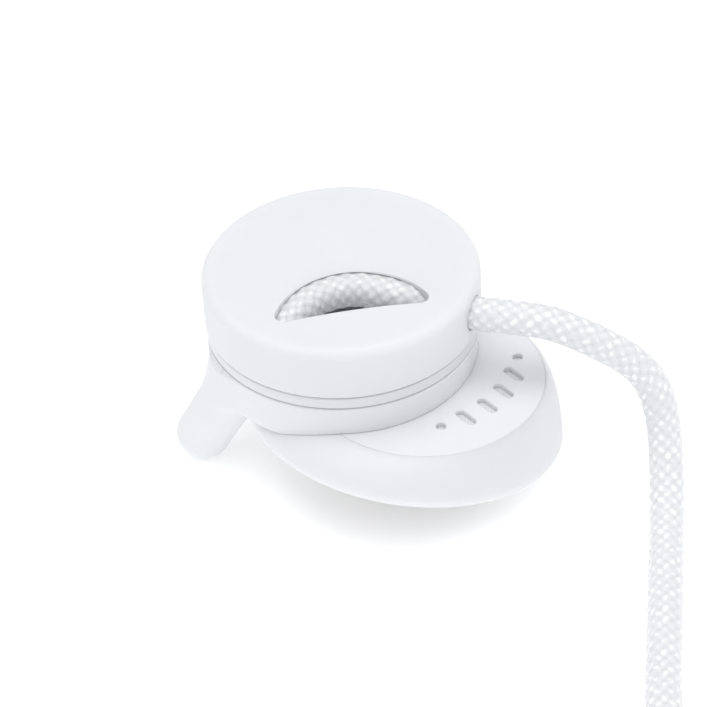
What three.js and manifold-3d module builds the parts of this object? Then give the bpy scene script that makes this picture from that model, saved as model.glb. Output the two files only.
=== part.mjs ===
// A white in-ear headphone: one earbud lying on its speaker face, with its braided cord and plug.
// Millimetres, +Z up, z = 0 on the surface that it lies on. While the pieces are made, the axis of
// the round cap is the Z axis; at the end the whole model is moved so that its origin is the middle
// of the underside of the bud's own box.
import * as THREE from 'three';
import { mergeVertices } from 'three/addons/utils/BufferGeometryUtils.js';
import Module from 'manifold-3d';

const wasm = await Module();
wasm.setup();

// ---------------------------------------------------------------- driving dimensions

// fits
const FIT = 0.05; // between a piece and what it sits in
const REST = 0.03; // between a piece and what it rests on
const REVEAL = 0.09; // the dark line above and below the trim ring

// speaker pod: a round shell whose axis leans away from the cap's axis
const POD_X = 3.44;
const POD_Y = -2.05;
const POD_Z = 3.65; // height of the middle of the pod's widest ring
const POD_LEAN_X = 0.178; // how far the pod's axis leans to the right, as a slope
const POD_LEAN_Y = 0.189; // and to the back
const POD_R = 9.65; // widest radius
const POD_WALL = 0.9;
const LIP_R = POD_R - 3.79; // the shell's underside curls in towards this radius
const LIP_DROP = 2.0; // and is this far below the widest ring there
const FACE_R = POD_R - 3.05; // opening for the speaker grille
const SHOULDER_FLAT = 0.3; // 0 is an oval shoulder, 1 a straight slope from the seam to the widest ring

// deck: the flat plate with the vents, seated in the top of the pod shell
const DECK_X = 4.75;
const DECK_Y = -3.3;
const DECK_Z = 7.32;
const SEAM_R = POD_R - 2.62; // where the plate meets the shell
const DECK_THICK = 0.3;

// vents in the deck
const VENT_X = 3.34; // middle of the arc that they lie on
const VENT_Y = -1.05;
const VENT_ARC_R = 6.97;
const VENT_FIRST = -73.5; // degrees round that middle
const VENT_STEP = 13.4;
const VENT_SLOTS = 4;
const VENT_SLOT_LONG = 1.5;
const VENT_WIDE = 0.58;
const VENT_DOT_R = 0.3;
const VENT_TURN = -53; // all slots run the same way
const SCREEN_THICK = 0.12;
const SCREEN_HALF = 1.0; // half the width of the mesh strip under them

// the cap's radius, which everything round its axis follows
const CAP_R = 8.25;
const REACH = CAP_R / 8.25; // how far the routes inside the cap and the stud reach, next to those drawn

// hub between the deck and the cap, with the silicone collar and the trim ring round it
const HUB_R = CAP_R - 1.75;
const HUB_WALL = 0.6;
const HUB_FLOOR = 0.5;
const NECK_H = 1.96; // height of the collar from the deck to its top
const RING_R = CAP_R - 0.08;
const RING_H = 0.74;
const COLLAR_R = CAP_R - 0.09;
const COLLAR_HEM_R = COLLAR_R - 0.21; // it narrows a little downwards
const COLLAR_HEM = 0.2; // rounding of its lower edge
const COLLAR_HANG = 0.85; // how far it hangs below the deck where nothing is under it

// stabiliser stud
const STUD_TIP_R = 1.68;
const STUD_ROOT_R = 1.75;
const STUD_SIDES = 24;

// cap
const CAP_H = 3.3;
const CAP_WALL = 0.8;
const CAP_ROOF = 0.6;
const CAP_EDGE = 0.6; // rounding of the top edge
const CAP_FLOOR = 0.5;

// crescent window in the cap's roof
const WINDOW_TURN = 8; // degrees round the cap's axis
const WINDOW_BACK_R = 4.83;
const WINDOW_BACK_Y = -5.56;
const WINDOW_TIP_R = 0.6;
const WINDOW_FRONT_Y = -4.53;
const WINDOW_BOW = 0.23; // how far the front edge bows towards the middle

// cord
const CORD_D = 2.0;
const CORD_GAP = 0.3;
const EXIT_DROP = 1.65; // below the cap's top
const CORD_EASE = 0.05; // round the cord, in the cap's side and in the channel under its roof
const CRIMP_LONG = 0.5;

// driver: the moving-coil speaker inside the pod, in the pod's own frame, where 0 is the widest ring
const DRIVER_R = POD_R - 1.95;
const DRIVER_FLOOR = -0.42; // underside of the frame's flange
const DRIVER_RISE = 1.32; // from there to the top of the frame
const DRIVER_WALL = 0.35;
const YOKE_R = 4.6;
const YOKE_THICK = 0.4;
const YOKE_BACK = 1.6;
const COIL_R = 3.75;
const COIL_WALL = 0.2;
const COIL_GAP = 0.18;
const COIL_H = 1.05;
const POLE_THICK = 0.4;
const MAGNET_THICK = 0.68;
const DIAPHRAGM_Z = -0.5; // plane of the moving diaphragm's rim
const DOME_RISE = 0.4;
const FILM = 0.07;
const GRILLE_THICK = 0.35;
const GRILLE_BULGE = 0.6;
const GRILLE_HOLE_R = 0.42;
const GRILLE_PITCH = 1.55;

// coil of cord, put away beside the bud
const COIL_X = 2.0;
const COIL_Y = -53.0;
const COIL_MID_R = 11.0;
const COIL_COLUMNS = 4;
const COIL_LAYERS = 4;
const TIE_THICK = 0.5;
const TIE_WIDE = 3.0;

// plug: the common 3.5 mm size, one channel
const PLUG_PIN_R = 1.75;
const PLUG_SLEEVE_LONG = 8.2;
const PLUG_BAND_LONG = 0.8;
const PLUG_TIP_LONG = 5.0;
const PLUG_BARREL_R = 3.0;
const PLUG_BARREL_LONG = 15;
const PLUG_RELIEF_LONG = 8;

const ROUND = 48; // facets on the large round pieces
const SMALL = 24; // facets on the pieces inside the driver

// ---------------------------------------------------------------- heights worked out from these

const COLLAR_TOP = DECK_Z + NECK_H;
const RING_Z = COLLAR_TOP + REVEAL;
const CAP_Z = RING_Z + RING_H + REVEAL;
const CAP_TOP = CAP_Z + CAP_H;
const HUB_TOP = CAP_Z - REST;
const CORD_R = CORD_D / 2;

// ---------------------------------------------------------------- how shapes are made

// The same surface with shared corners and no triangle that has shrunk to a line.
function welded(geometry) {
  const plain = geometry.index ? geometry.toNonIndexed() : geometry.clone();
  plain.deleteAttribute('normal');
  plain.deleteAttribute('uv');
  const merged = mergeVertices(plain, 1e-5);
  const kept = [];
  for (let i = 0; i < merged.index.count; i += 3) {
    const [a, b, c] = [merged.index.getX(i), merged.index.getX(i + 1), merged.index.getX(i + 2)];
    if (a !== b && b !== c && c !== a) kept.push(a, b, c);
  }
  merged.setIndex(kept);
  return merged;
}

function solid(geometry) {
  const closed = welded(geometry);
  const vertProperties = new Float32Array(closed.attributes.position.array);
  const triVerts = new Uint32Array(closed.index.array);
  return new wasm.Manifold(new wasm.Mesh({ numProp: 3, vertProperties, triVerts }));
}

function surface(manifold) {
  const mesh = manifold.getMesh();
  const geometry = new THREE.BufferGeometry();
  geometry.setAttribute('position', new THREE.BufferAttribute(mesh.vertProperties, 3));
  geometry.setIndex(new THREE.BufferAttribute(mesh.triVerts, 1));
  return geometry;
}

function cut(body, ...tools) {
  return surface(tools.reduce((left, tool) => left.subtract(solid(tool)), solid(body)));
}

function join(body, ...others) {
  return surface(others.reduce((sum, other) => sum.add(solid(other)), solid(body)));
}

// A profile of [radius, height] points turned about the Z axis. A profile that neither starts nor
// ends on the axis is closed into a ring.
function turned(profile, facets = ROUND) {
  const points = profile.map(([r, z]) => new THREE.Vector2(r, z));
  if (profile[0][0] > 0 || profile.at(-1)[0] > 0) points.push(points[0].clone());
  if (THREE.ShapeUtils.area(points) < 0) points.reverse();
  return welded(new THREE.LatheGeometry(points, facets).rotateX(Math.PI / 2));
}

// The points of a rounded corner in a profile, about [cr, cz], from one angle to another.
function corner(cr, cz, radius, from, to, steps = 4) {
  return Array.from({ length: steps + 1 }, (_, i) => {
    const angle = THREE.MathUtils.degToRad(from + ((to - from) * i) / steps);
    return [cr + radius * Math.cos(angle), cz + radius * Math.sin(angle)];
  });
}

// A round bar along a smooth curve through the given points.
function bar(points, radius, sides = 8, steps = points.length * 2) {
  const curve = new THREE.CatmullRomCurve3(points.map((p) => new THREE.Vector3(...p)), false, 'centripetal');
  const outline = Array.from({ length: sides }, (_, i) => {
    const angle = (2 * Math.PI * (i + 0.5)) / sides;
    return new THREE.Vector2(radius * Math.cos(angle), radius * Math.sin(angle));
  });
  const settings = { steps, bevelEnabled: false, extrudePath: curve };
  return welded(new THREE.ExtrudeGeometry(new THREE.Shape(outline), settings));
}

// A skin over rows of points, each row a closed ring. With closed, the last row joins the first;
// otherwise each end is covered by a flat cap. A skin that comes out inside out is turned round.
function lofted(rows, closed) {
  const around = rows[0].length;
  const positions = rows.flat().flatMap((p) => [p.x, p.y, p.z]);
  const index = [];
  const last = closed ? rows.length : rows.length - 1;
  for (let j = 0; j < last; j++) {
    const here = j * around;
    const next = ((j + 1) % rows.length) * around;
    for (let i = 0; i < around; i++) {
      const k = (i + 1) % around;
      index.push(here + i, next + i, next + k, here + i, next + k, here + k);
    }
  }
  if (!closed) {
    for (const [row, turn] of [[0, 1], [rows.length - 1, -1]]) {
      const middle = rows[row].reduce((sum, p) => sum.add(p), new THREE.Vector3()).divideScalar(around);
      const centre = positions.length / 3;
      positions.push(middle.x, middle.y, middle.z);
      for (let i = 0; i < around; i++) {
        const [a, b] = [row * around + i, row * around + ((i + 1) % around)];
        index.push(...(turn > 0 ? [centre, a, b] : [centre, b, a]));
      }
    }
  }
  const geometry = new THREE.BufferGeometry();
  geometry.setAttribute('position', new THREE.Float32BufferAttribute(positions, 3));
  geometry.setIndex(index);
  if (solid(geometry).volume() < 0) geometry.setIndex(index.reverse());
  return welded(geometry);
}

function disc(radius, low, high, facets = ROUND) {
  return turned([[0, low], [radius, low], [radius, high], [0, high]], facets);
}

function ring(inner, outer, low, high, facets = ROUND) {
  return turned([[inner, low], [outer, low], [outer, high], [inner, high]], facets);
}

function slot(long, wide, low, high) {
  const shape = new THREE.Shape();
  const half = (long - wide) / 2;
  shape.absarc(half, 0, wide / 2, -Math.PI / 2, Math.PI / 2, false);
  shape.absarc(-half, 0, wide / 2, Math.PI / 2, (3 * Math.PI) / 2, false);
  const settings = { depth: high - low, bevelEnabled: false, curveSegments: 4 };
  return welded(new THREE.ExtrudeGeometry(shape, settings)).translate(0, 0, low);
}

function matter(color, roughness, metalness = 0) {
  return new THREE.MeshStandardMaterial({ color, roughness, metalness });
}

function piece(name, geometry, material, parent) {
  const shown = geometry.clone();
  shown.computeVertexNormals();
  const mesh = new THREE.Mesh(shown, material());
  mesh.name = name;
  parent.add(mesh);
  return mesh;
}

// finishes
const softTouch = () => matter(0xeeeff3, 0.62);
const satin = () => matter(0xe2e4e8, 0.42);
const silicone = () => matter(0xf0f1f4, 0.55);
const pale = () => matter(0xe9ebef, 0.55);
const mesh = () => matter(0xb9bcc2, 0.5, 0.4);
const darkMesh = () => matter(0x3b3d42, 0.8);
const foam = () => matter(0x4a4c50, 0.95);
const steel = () => matter(0xb4b7bc, 0.35, 1);
const nickel = () => matter(0xc9cbd0, 0.22, 1);
const copper = () => matter(0xb87333, 0.35, 1);
const film = () => matter(0xd8d2c4, 0.3);
const paper = () => matter(0xcfc8b8, 0.9);
const board = () => matter(0x2f6b3f, 0.6);
const solder = () => matter(0xc4c6c9, 0.3, 1);
const enamelRed = () => matter(0xa8342c, 0.4);
const enamelGreen = () => matter(0x2f7d4f, 0.4);
const braid = () => matter(0xf2f3f6, 0.5);
const strap = () => matter(0xe6e7ea, 0.85);
const dark = () => matter(0x24262a, 0.5);

const model = new THREE.Group();
const bud = new THREE.Group();
const lead = new THREE.Group();
model.add(bud, lead);

// ---------------------------------------------------------------- the pod's leaning frame

const lean = new THREE.Vector3(POD_LEAN_X, POD_LEAN_Y, 1).normalize();
const podAcross = new THREE.Vector3(1, 0, 0).addScaledVector(lean, -lean.x).normalize();
const podAlong = new THREE.Vector3().crossVectors(lean, podAcross);
const podCentre = new THREE.Vector3(POD_X, POD_Y, POD_Z);
const pod = new THREE.Group();
pod.position.copy(podCentre);
pod.quaternion.setFromRotationMatrix(new THREE.Matrix4().makeBasis(podAcross, podAlong, lean));
bud.add(pod);

// a point of the pod's frame, in the model's frame
function inPod(radius, angle, height) {
  return podCentre.clone()
    .addScaledVector(podAcross, radius * Math.cos(angle))
    .addScaledVector(podAlong, radius * Math.sin(angle))
    .addScaledVector(lean, height);
}

function round(count, place) {
  return Array.from({ length: count }, (_, i) => place((2 * Math.PI * i) / count));
}

// Rows of the shell's surface, from the seam round the deck, out to the widest ring and in under
// it. inset moves the surface inwards, to make the inside of the wall.
function shellRows(inset) {
  const seam = (a) => new THREE.Vector3(
    DECK_X + SEAM_R * Math.cos(a),
    DECK_Y + SEAM_R * Math.sin(a),
    DECK_Z - inset,
  );
  const rows = [];
  const overSteps = 7;
  for (let j = 0; j <= overSteps; j++) {
    const t = (Math.PI / 2) * (j / overSteps);
    rows.push(round(ROUND, (a) => {
      const top = seam(a);
      const wide = inPod(POD_R - inset, a, 0);
      const out = Math.sin(t) + (j / overSteps - Math.sin(t)) * SHOULDER_FLAT;
      const down = 1 - Math.cos(t) + (j / overSteps - 1 + Math.cos(t)) * SHOULDER_FLAT;
      return new THREE.Vector3(
        top.x + (wide.x - top.x) * out,
        top.y + (wide.y - top.y) * out,
        top.z + (wide.z - top.z) * down,
      );
    }));
  }
  const spread = POD_R - inset - LIP_R;
  const end = Math.acos((FACE_R - LIP_R) / spread);
  const underSteps = 4;
  for (let j = 1; j <= underSteps; j++) {
    const t = end * (j / underSteps);
    const radius = LIP_R + spread * Math.cos(t);
    const height = -(LIP_DROP - inset) * Math.sin(t);
    rows.push(round(ROUND, (a) => inPod(radius, a, height)));
  }
  return rows;
}

// The outside of the pod as one lump, grown by a clearance: what rests on the pod is cut by it.
function podLump(clearance) {
  const rows = shellRows(-clearance);
  return lofted(rows, false);
}

// ---------------------------------------------------------------- speaker pod

piece('pod_shell', lofted([...shellRows(0), ...shellRows(POD_WALL).reverse()], true), softTouch, bud);

const ventAt = (i) => THREE.MathUtils.degToRad(VENT_FIRST + VENT_STEP * i);
const ventCuts = [];
for (let i = 0; i <= VENT_SLOTS + 1; i++) {
  const isSlot = i > 0 && i <= VENT_SLOTS;
  const shape = isSlot
    ? slot(VENT_SLOT_LONG, VENT_WIDE, -2, 1).rotateZ(THREE.MathUtils.degToRad(VENT_TURN))
    : disc(VENT_DOT_R, -2, 1, 16);
  ventCuts.push(shape.translate(
    VENT_X + VENT_ARC_R * Math.cos(ventAt(i)),
    VENT_Y + VENT_ARC_R * Math.sin(ventAt(i)),
    DECK_Z,
  ));
}
const WIRE_X = 2.6;
const WIRE_Y = -0.85;
const WIRE_HOLE_R = 0.75;
const wireHole = disc(WIRE_HOLE_R, DECK_Z - 2, DECK_Z + 2, 20).translate(WIRE_X, WIRE_Y, 0);
const deckBlank = disc(SEAM_R - FIT, DECK_Z - DECK_THICK, DECK_Z).translate(DECK_X, DECK_Y, 0);
piece('deck_plate', cut(deckBlank, ...ventCuts, wireHole), pale, bud);

// the screen is a curved strip glued under the vents
const screenShape = new THREE.Shape();
const screenFrom = ventAt(-0.6);
const screenTo = ventAt(VENT_SLOTS + 1.6);
screenShape.absarc(0, 0, VENT_ARC_R + SCREEN_HALF, screenFrom, screenTo, false);
screenShape.absarc(0, 0, VENT_ARC_R - SCREEN_HALF, screenTo, screenFrom, true);
const screenSettings = { depth: SCREEN_THICK, bevelEnabled: false, curveSegments: 12 };
const screenBlank = welded(new THREE.ExtrudeGeometry(screenShape, screenSettings));
screenBlank.translate(VENT_X, VENT_Y, DECK_Z - DECK_THICK - REST - SCREEN_THICK);
piece('vent_screen', screenBlank, mesh, bud);

// speaker grille: a shallow dish with round holes, seated in the shell's mouth
const grilleR = FACE_R - FIT;
const grilleRim = -(LIP_DROP - 0.15);
const grilleCurve = (side) => Array.from({ length: 4 }, (_, i) => {
  const r = (grilleR * i) / 3;
  return [r, grilleRim - GRILLE_BULGE * (1 - (r / grilleR) ** 2) + side * GRILLE_THICK];
});
const grilleBlank = turned([...grilleCurve(0), ...grilleCurve(1).reverse()], SMALL);
const grilleHoles = [];
for (let row = -3; row <= 3; row++) {
  for (let column = -3; column <= 3; column++) {
    const x = (column + row / 2) * GRILLE_PITCH;
    const y = row * GRILLE_PITCH * Math.sin(Math.PI / 3);
    if (Math.hypot(x, y) > 3.2 * GRILLE_PITCH) continue;
    grilleHoles.push(disc(GRILLE_HOLE_R, grilleRim - 2, grilleRim + 2, 6).translate(x, y, 0));
  }
}
piece('speaker_grille', cut(grilleBlank, ...grilleHoles), steel, pod);

const clothTop = grilleRim + GRILLE_THICK + REST + FILM;
piece('grille_cloth', disc(grilleR - 0.25, clothTop - FILM, clothTop, SMALL), darkMesh, pod);

// foam ring between the shell's lip and the driver
const surroundR = DRIVER_R - 0.3;
const gasketTop = DIAPHRAGM_Z - FILM - REST;
const gasketR = DRIVER_R - 0.4;
const lipUnder = (LIP_DROP - POD_WALL) * Math.sin(Math.acos((gasketR - LIP_R) / (POD_R - POD_WALL - LIP_R)));
piece('front_gasket', ring(gasketR - 0.6, gasketR, -lipUnder + FIT, gasketTop, SMALL), foam, pod);

// ---------------------------------------------------------------- driver

const frameTop = DRIVER_FLOOR + DRIVER_RISE;
const frameBoreR = YOKE_R + FIT;
const frameHoles = round(6, (a) => disc(0.35, 0, 2, 10).translate(5.3 * Math.cos(a), 5.3 * Math.sin(a), 0));
const frameBlank = turned([
  [DRIVER_R - 0.8, DRIVER_FLOOR],
  [DRIVER_R, DRIVER_FLOOR],
  [DRIVER_R, DRIVER_FLOOR + DRIVER_WALL],
  [DRIVER_R - 0.8, DRIVER_FLOOR + DRIVER_WALL + 0.05],
  [DRIVER_R - 1.6, frameTop],
  [frameBoreR, frameTop],
  [frameBoreR, frameTop - DRIVER_WALL],
  [DRIVER_R - 1.9, frameTop - DRIVER_WALL],
], SMALL);
piece('driver_frame', cut(frameBlank, ...frameHoles), pale, pod);

piece('damping_paper', ring(frameBoreR + 0.15, DRIVER_R - 1.75, frameTop + REST, frameTop + REST + 0.08, SMALL), paper, pod);

const coilInner = COIL_R - COIL_WALL;
const poleR = coilInner - COIL_GAP;
const yokeBore = COIL_R + COIL_GAP;
const yokeFloor = YOKE_BACK - YOKE_THICK;
const magnetTop = yokeFloor - REST;
const poleTop = magnetTop - MAGNET_THICK - REST;
piece('yoke_cup', turned([
  [0, yokeFloor],
  [yokeBore, yokeFloor],
  [yokeBore, poleTop - POLE_THICK],
  [YOKE_R, poleTop - POLE_THICK],
  [YOKE_R, YOKE_BACK],
  [0, YOKE_BACK],
], SMALL), steel, pod);
piece('magnet', disc(poleR - 0.15, magnetTop - MAGNET_THICK, magnetTop, SMALL), nickel, pod);
piece('pole_plate', disc(poleR, poleTop - POLE_THICK, poleTop, SMALL), steel, pod);

const domeR = COIL_R + 0.12;
const domeCurve = (side) => Array.from({ length: 5 }, (_, i) => {
  const r = ((coilInner - 0.1) * i) / 4;
  return [r, DIAPHRAGM_Z - DOME_RISE * (1 - (r / (coilInner - 0.1)) ** 2) - (side ? 0 : FILM)];
});
const dome = turned([
  ...domeCurve(0),
  [domeR, DIAPHRAGM_Z - FILM],
  [domeR, DIAPHRAGM_Z],
  ...domeCurve(1).reverse(),
], SMALL);
piece('diaphragm_dome', dome, film, pod);
piece('voice_coil', ring(coilInner, COIL_R, DIAPHRAGM_Z + REST, DIAPHRAGM_Z + REST + COIL_H, SMALL), copper, pod);

// the surround is a thin half-roll between the dome and the frame
const rollFrom = domeR + 0.7;
const rollTo = surroundR - 0.8;
const rollMiddle = (rollFrom + rollTo) / 2;
const rollHalf = (rollTo - rollFrom) / 2;
const surroundCurve = (side) => [
  [domeR + FIT, DIAPHRAGM_Z - side * FILM],
  ...Array.from({ length: 6 }, (_, i) => {
    const a = Math.PI * (i / 5);
    const z = DIAPHRAGM_Z - side * FILM - 0.3 * Math.sin(a);
    return [rollMiddle - rollHalf * Math.cos(a), z];
  }),
  [surroundR, DIAPHRAGM_Z - side * FILM],
];
piece('diaphragm_surround', turned([...surroundCurve(1), ...surroundCurve(0).reverse()], SMALL), film, pod);

const boardLow = YOKE_BACK + REST;
const boardTop = boardLow + 0.22;
const boardX = 1.3;
const boardY = 0.9;
const boardBlank = new THREE.BoxGeometry(3.4, 1.7, boardTop - boardLow);
boardBlank.translate(boardX, boardY, (boardTop + boardLow) / 2);
piece('terminal_board', welded(boardBlank), board, pod);
const padR = 0.42;
const padTop = boardTop + REST + 0.1;
const padX = 0.85;
piece('solder_pad_signal', disc(padR, boardTop + REST, padTop, 16).translate(boardX - padX, boardY, 0), solder, pod);
piece('solder_pad_ground', disc(padR, boardTop + REST, padTop, 16).translate(boardX + padX, boardY, 0), solder, pod);

// ---------------------------------------------------------------- hub, collar with its stud, ring

const hubIn = HUB_R - HUB_WALL;
const hubLow = DECK_Z + REST;
const hub = turned([
  [0, hubLow],
  [HUB_R, hubLow],
  [HUB_R, HUB_TOP],
  [hubIn, HUB_TOP],
  [hubIn, hubLow + HUB_FLOOR],
  [0, hubLow + HUB_FLOOR],
]);
piece('neck_hub', cut(hub, wireHole), pale, bud);

const collarIn = HUB_R + FIT;
const collarLow = DECK_Z - COLLAR_HANG;
const collar = turned([
  ...corner(COLLAR_HEM_R - COLLAR_HEM, collarLow + COLLAR_HEM, COLLAR_HEM, -90, 0, 3),
  ...corner(COLLAR_R - 0.12, COLLAR_TOP - 0.12, 0.12, 0, 90, 2),
  [collarIn, COLLAR_TOP],
  [collarIn, collarLow],
]);

// The stud is a stubby horn of the same silicone: it leaves the collar's left side, hangs down and
// ends in a ball that touches the surface. Its rows are rings along a curve, with changing radius.
const studTip = new THREE.Vector3(-8.95 * REACH, -0.63 * REACH, STUD_TIP_R + 0.02);
const studPath = new THREE.CatmullRomCurve3([
  new THREE.Vector3(-5.85 * REACH, -2.5 * REACH, COLLAR_TOP - 1.1),
  new THREE.Vector3(-6.6 * REACH, -2.3 * REACH, COLLAR_TOP - 2.6),
  new THREE.Vector3(-7.56 * REACH, -1.7 * REACH, COLLAR_TOP - 4.55),
  studTip,
], false, 'centripetal');
const studRows = [];
const studSteps = 9;
const studFrames = studPath.computeFrenetFrames(studSteps, false);
for (let j = 0; j <= studSteps; j++) {
  const t = j / studSteps;
  const radius = STUD_ROOT_R + (STUD_TIP_R - STUD_ROOT_R) * Math.min(1, t * 1.3);
  const middle = studPath.getPointAt(t);
  studRows.push(round(STUD_SIDES, (a) => middle.clone()
    .addScaledVector(studFrames.normals[j], radius * Math.cos(a))
    .addScaledVector(studFrames.binormals[j], radius * Math.sin(a))));
}
const studEnd = studFrames.tangents[studSteps];
for (let j = 1; j <= 5; j++) {
  const t = (Math.PI / 2) * (j / 5.4);
  studRows.push(round(STUD_SIDES, (a) => studTip.clone()
    .addScaledVector(studEnd, STUD_TIP_R * Math.sin(t))
    .addScaledVector(studFrames.normals[studSteps], STUD_TIP_R * Math.cos(t) * Math.cos(a))
    .addScaledVector(studFrames.binormals[studSteps], STUD_TIP_R * Math.cos(t) * Math.sin(a))));
}
const stabiliser = cut(
  join(collar, lofted(studRows, false)),
  disc(collarIn, DECK_Z - 0.3, COLLAR_TOP + 1),
  disc(COLLAR_R + 3, COLLAR_TOP, COLLAR_TOP + 3),
  podLump(FIT),
);
piece('ear_stabiliser', stabiliser, silicone, bud);

piece('trim_ring', turned([
  ...corner(RING_R - 0.08, RING_Z + 0.08, 0.08, -90, 0, 2),
  ...corner(RING_R - 0.08, RING_Z + RING_H - 0.08, 0.08, 0, 90, 2),
  [HUB_R + FIT, RING_Z + RING_H],
  [HUB_R + FIT, RING_Z],
]), satin, bud);

// ---------------------------------------------------------------- cap

// The cord's way through the cap: in at the exit, up until it shows in the whole window, pressed
// against the window's back edge, and down again to its end on the left. Heights are from the
// cap's top, and the last row is the cord's end.
const insideRoute = [
  [7.78, -3.17, -EXIT_DROP],
  [7.0, -2.93, -EXIT_DROP],
  [6.0, -2.62, -1.57],
  [5.0, -2.31, -1.43],
  [4.0, -2.0, -1.27],
  [3.0, -1.69, -1.14],
  [2.0, -1.38, -1.06],
  [1.0, -1.14, -1.03],
  [0.0, -1.15, -1.03],
  [-0.9, -1.42, -1.04],
  [-1.75, -1.88, -1.07],
  [-2.47, -2.52, -1.14],
  [-3.07, -3.23, -1.27],
  [-3.64, -3.93, -1.46],
  [-4.15, -4.55, -1.63],
].map(([x, y, z]) => [x * REACH, y * REACH, CAP_TOP + z]);

const exitPoint = new THREE.Vector3(...insideRoute[0]);
const exitWay = new THREE.Vector3(0.955, -0.297, 0).normalize();

// a round bar through the wall, along the cord's way out
function alongExit(radius, from, to) {
  const made = disc(radius, from, to, SMALL);
  made.applyQuaternion(new THREE.Quaternion().setFromUnitVectors(new THREE.Vector3(0, 0, 1), exitWay));
  return made.translate(exitPoint.x, exitPoint.y, exitPoint.z);
}

const tipY = WINDOW_FRONT_Y + WINDOW_TIP_R;
const tipLift = tipY - WINDOW_BACK_Y;
const tipX = Math.sqrt((WINDOW_BACK_R - WINDOW_TIP_R) ** 2 - tipLift ** 2);
const tipAngle = Math.atan2(tipLift, tipX);
const windowShape = new THREE.Shape();
windowShape.absarc(0, WINDOW_BACK_Y, WINDOW_BACK_R, tipAngle, Math.PI - tipAngle, false);
windowShape.absarc(-tipX, tipY, WINDOW_TIP_R, Math.PI - tipAngle, (3 * Math.PI) / 2, false);
windowShape.quadraticCurveTo(0, WINDOW_FRONT_Y + 2 * WINDOW_BOW, tipX, WINDOW_FRONT_Y);
windowShape.absarc(tipX, tipY, WINDOW_TIP_R, -Math.PI / 2, tipAngle, false);
const windowSettings = { depth: 3, bevelEnabled: false, curveSegments: 10 };
const windowTool = welded(new THREE.ExtrudeGeometry(windowShape, windowSettings));
windowTool.rotateZ(THREE.MathUtils.degToRad(WINDOW_TURN)).translate(0, 0, CAP_TOP - 1.4);

const capIn = CAP_R - CAP_WALL;
const capBlank = turned([
  [0, CAP_TOP - CAP_ROOF],
  [capIn - 0.2, CAP_TOP - CAP_ROOF],
  [capIn, CAP_TOP - CAP_ROOF - 0.2],
  [capIn, CAP_Z],
  [CAP_R - 0.12, CAP_Z],
  [CAP_R, CAP_Z + 0.12],
  ...corner(CAP_R - CAP_EDGE, CAP_TOP - CAP_EDGE, CAP_EDGE, 0, 90, 6),
  [0, CAP_TOP],
]);
const channel = bar(insideRoute, CORD_R + CORD_EASE, 20, 36);
piece('cap_shell', cut(capBlank, windowTool, channel, alongExit(CORD_R + CORD_EASE, -2, 2)), softTouch, bud);

const floorHole = disc(0.8, CAP_Z - 1, CAP_Z + 1, 20).translate(-4.5 * REACH, -1.85 * REACH, 0);
const floorBlank = disc(capIn - FIT, CAP_Z, CAP_Z + CAP_FLOOR);
piece('cap_floor', cut(floorBlank, floorHole), pale, bud);

piece('cord_inner', bar(insideRoute, CORD_R, 8, 28), braid, bud);

// crimp on the cord's end, lying in the cap's front left
const [beforeEnd, cordEnd] = insideRoute.slice(-2).map((p) => new THREE.Vector3(...p));
const endWay = cordEnd.clone().sub(beforeEnd).normalize();
const crimpBlank = disc(CORD_R + 0.02, 0.07, 0.07 + CRIMP_LONG, 24);
crimpBlank.applyQuaternion(new THREE.Quaternion().setFromUnitVectors(new THREE.Vector3(0, 0, 1), endWay));
piece('cord_crimp', crimpBlank.translate(cordEnd.x, cordEnd.y, cordEnd.z), steel, bud);

// two enamelled wires, from the crimp, round it and down through the floor, to the driver's pads
const wireStart = cordEnd.clone().addScaledVector(endWay, 0.07 + CRIMP_LONG + 0.22);
const wireLevel = hubLow + HUB_FLOOR + 0.27;
function leadWire(side) {
  const pad = new THREE.Vector3(boardX + side * padX, boardY, padTop + 0.05);
  const overPad = pad.clone().setZ(padTop + 0.5);
  const [end, above] = [pad, overPad].map((p) => pod.localToWorld(p.clone()).toArray());
  return bar([
    [wireStart.x, wireStart.y, wireStart.z + 0.3 * side],
    [wireStart.x - 0.55, wireStart.y + 0.2, wireStart.z + 0.3 * side],
    [-5.65 * REACH, -4.2 * REACH, wireStart.z + 0.3 * side],
    [-5.65 * REACH, -3.3 * REACH, wireStart.z - 0.1 + 0.3 * side],
    [-5.25 * REACH, -2.5 * REACH + 0.1 * side, CAP_TOP - 2.15 + 0.25 * side],
    [-4.65 * REACH, -1.95 * REACH + 0.3 * side, CAP_TOP - 2.8],
    [-4.2 * REACH, -1.75 * REACH + 0.38 * side, CAP_TOP - 3.9],
    [-2.8, -1.7 + 0.42 * side, wireLevel + 0.2],
    [0, -1.7 + 0.42 * side, wireLevel],
    [WIRE_X - 0.7, WIRE_Y + 0.42 * side - 0.1, wireLevel],
    [WIRE_X, WIRE_Y + 0.42 * side, DECK_Z + 0.1],
    [WIRE_X, WIRE_Y + 0.42 * side, DECK_Z - DECK_THICK],
    above,
    end,
  ], 0.14, 6, 28);
}
bud.updateMatrixWorld(true);
piece('lead_wire_signal', leadWire(-1), enamelRed, bud);
piece('lead_wire_ground', leadWire(1), enamelGreen, bud);

// ---------------------------------------------------------------- free cord

const coilStep = CORD_D;
const coilIn = COIL_MID_R - (COIL_COLUMNS * coilStep) / 2;
const coilOut = COIL_MID_R + (COIL_COLUMNS * coilStep) / 2;
const coilLow = TIE_THICK + 0.1;
const coilHigh = coilLow + COIL_LAYERS * coilStep;

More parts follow.
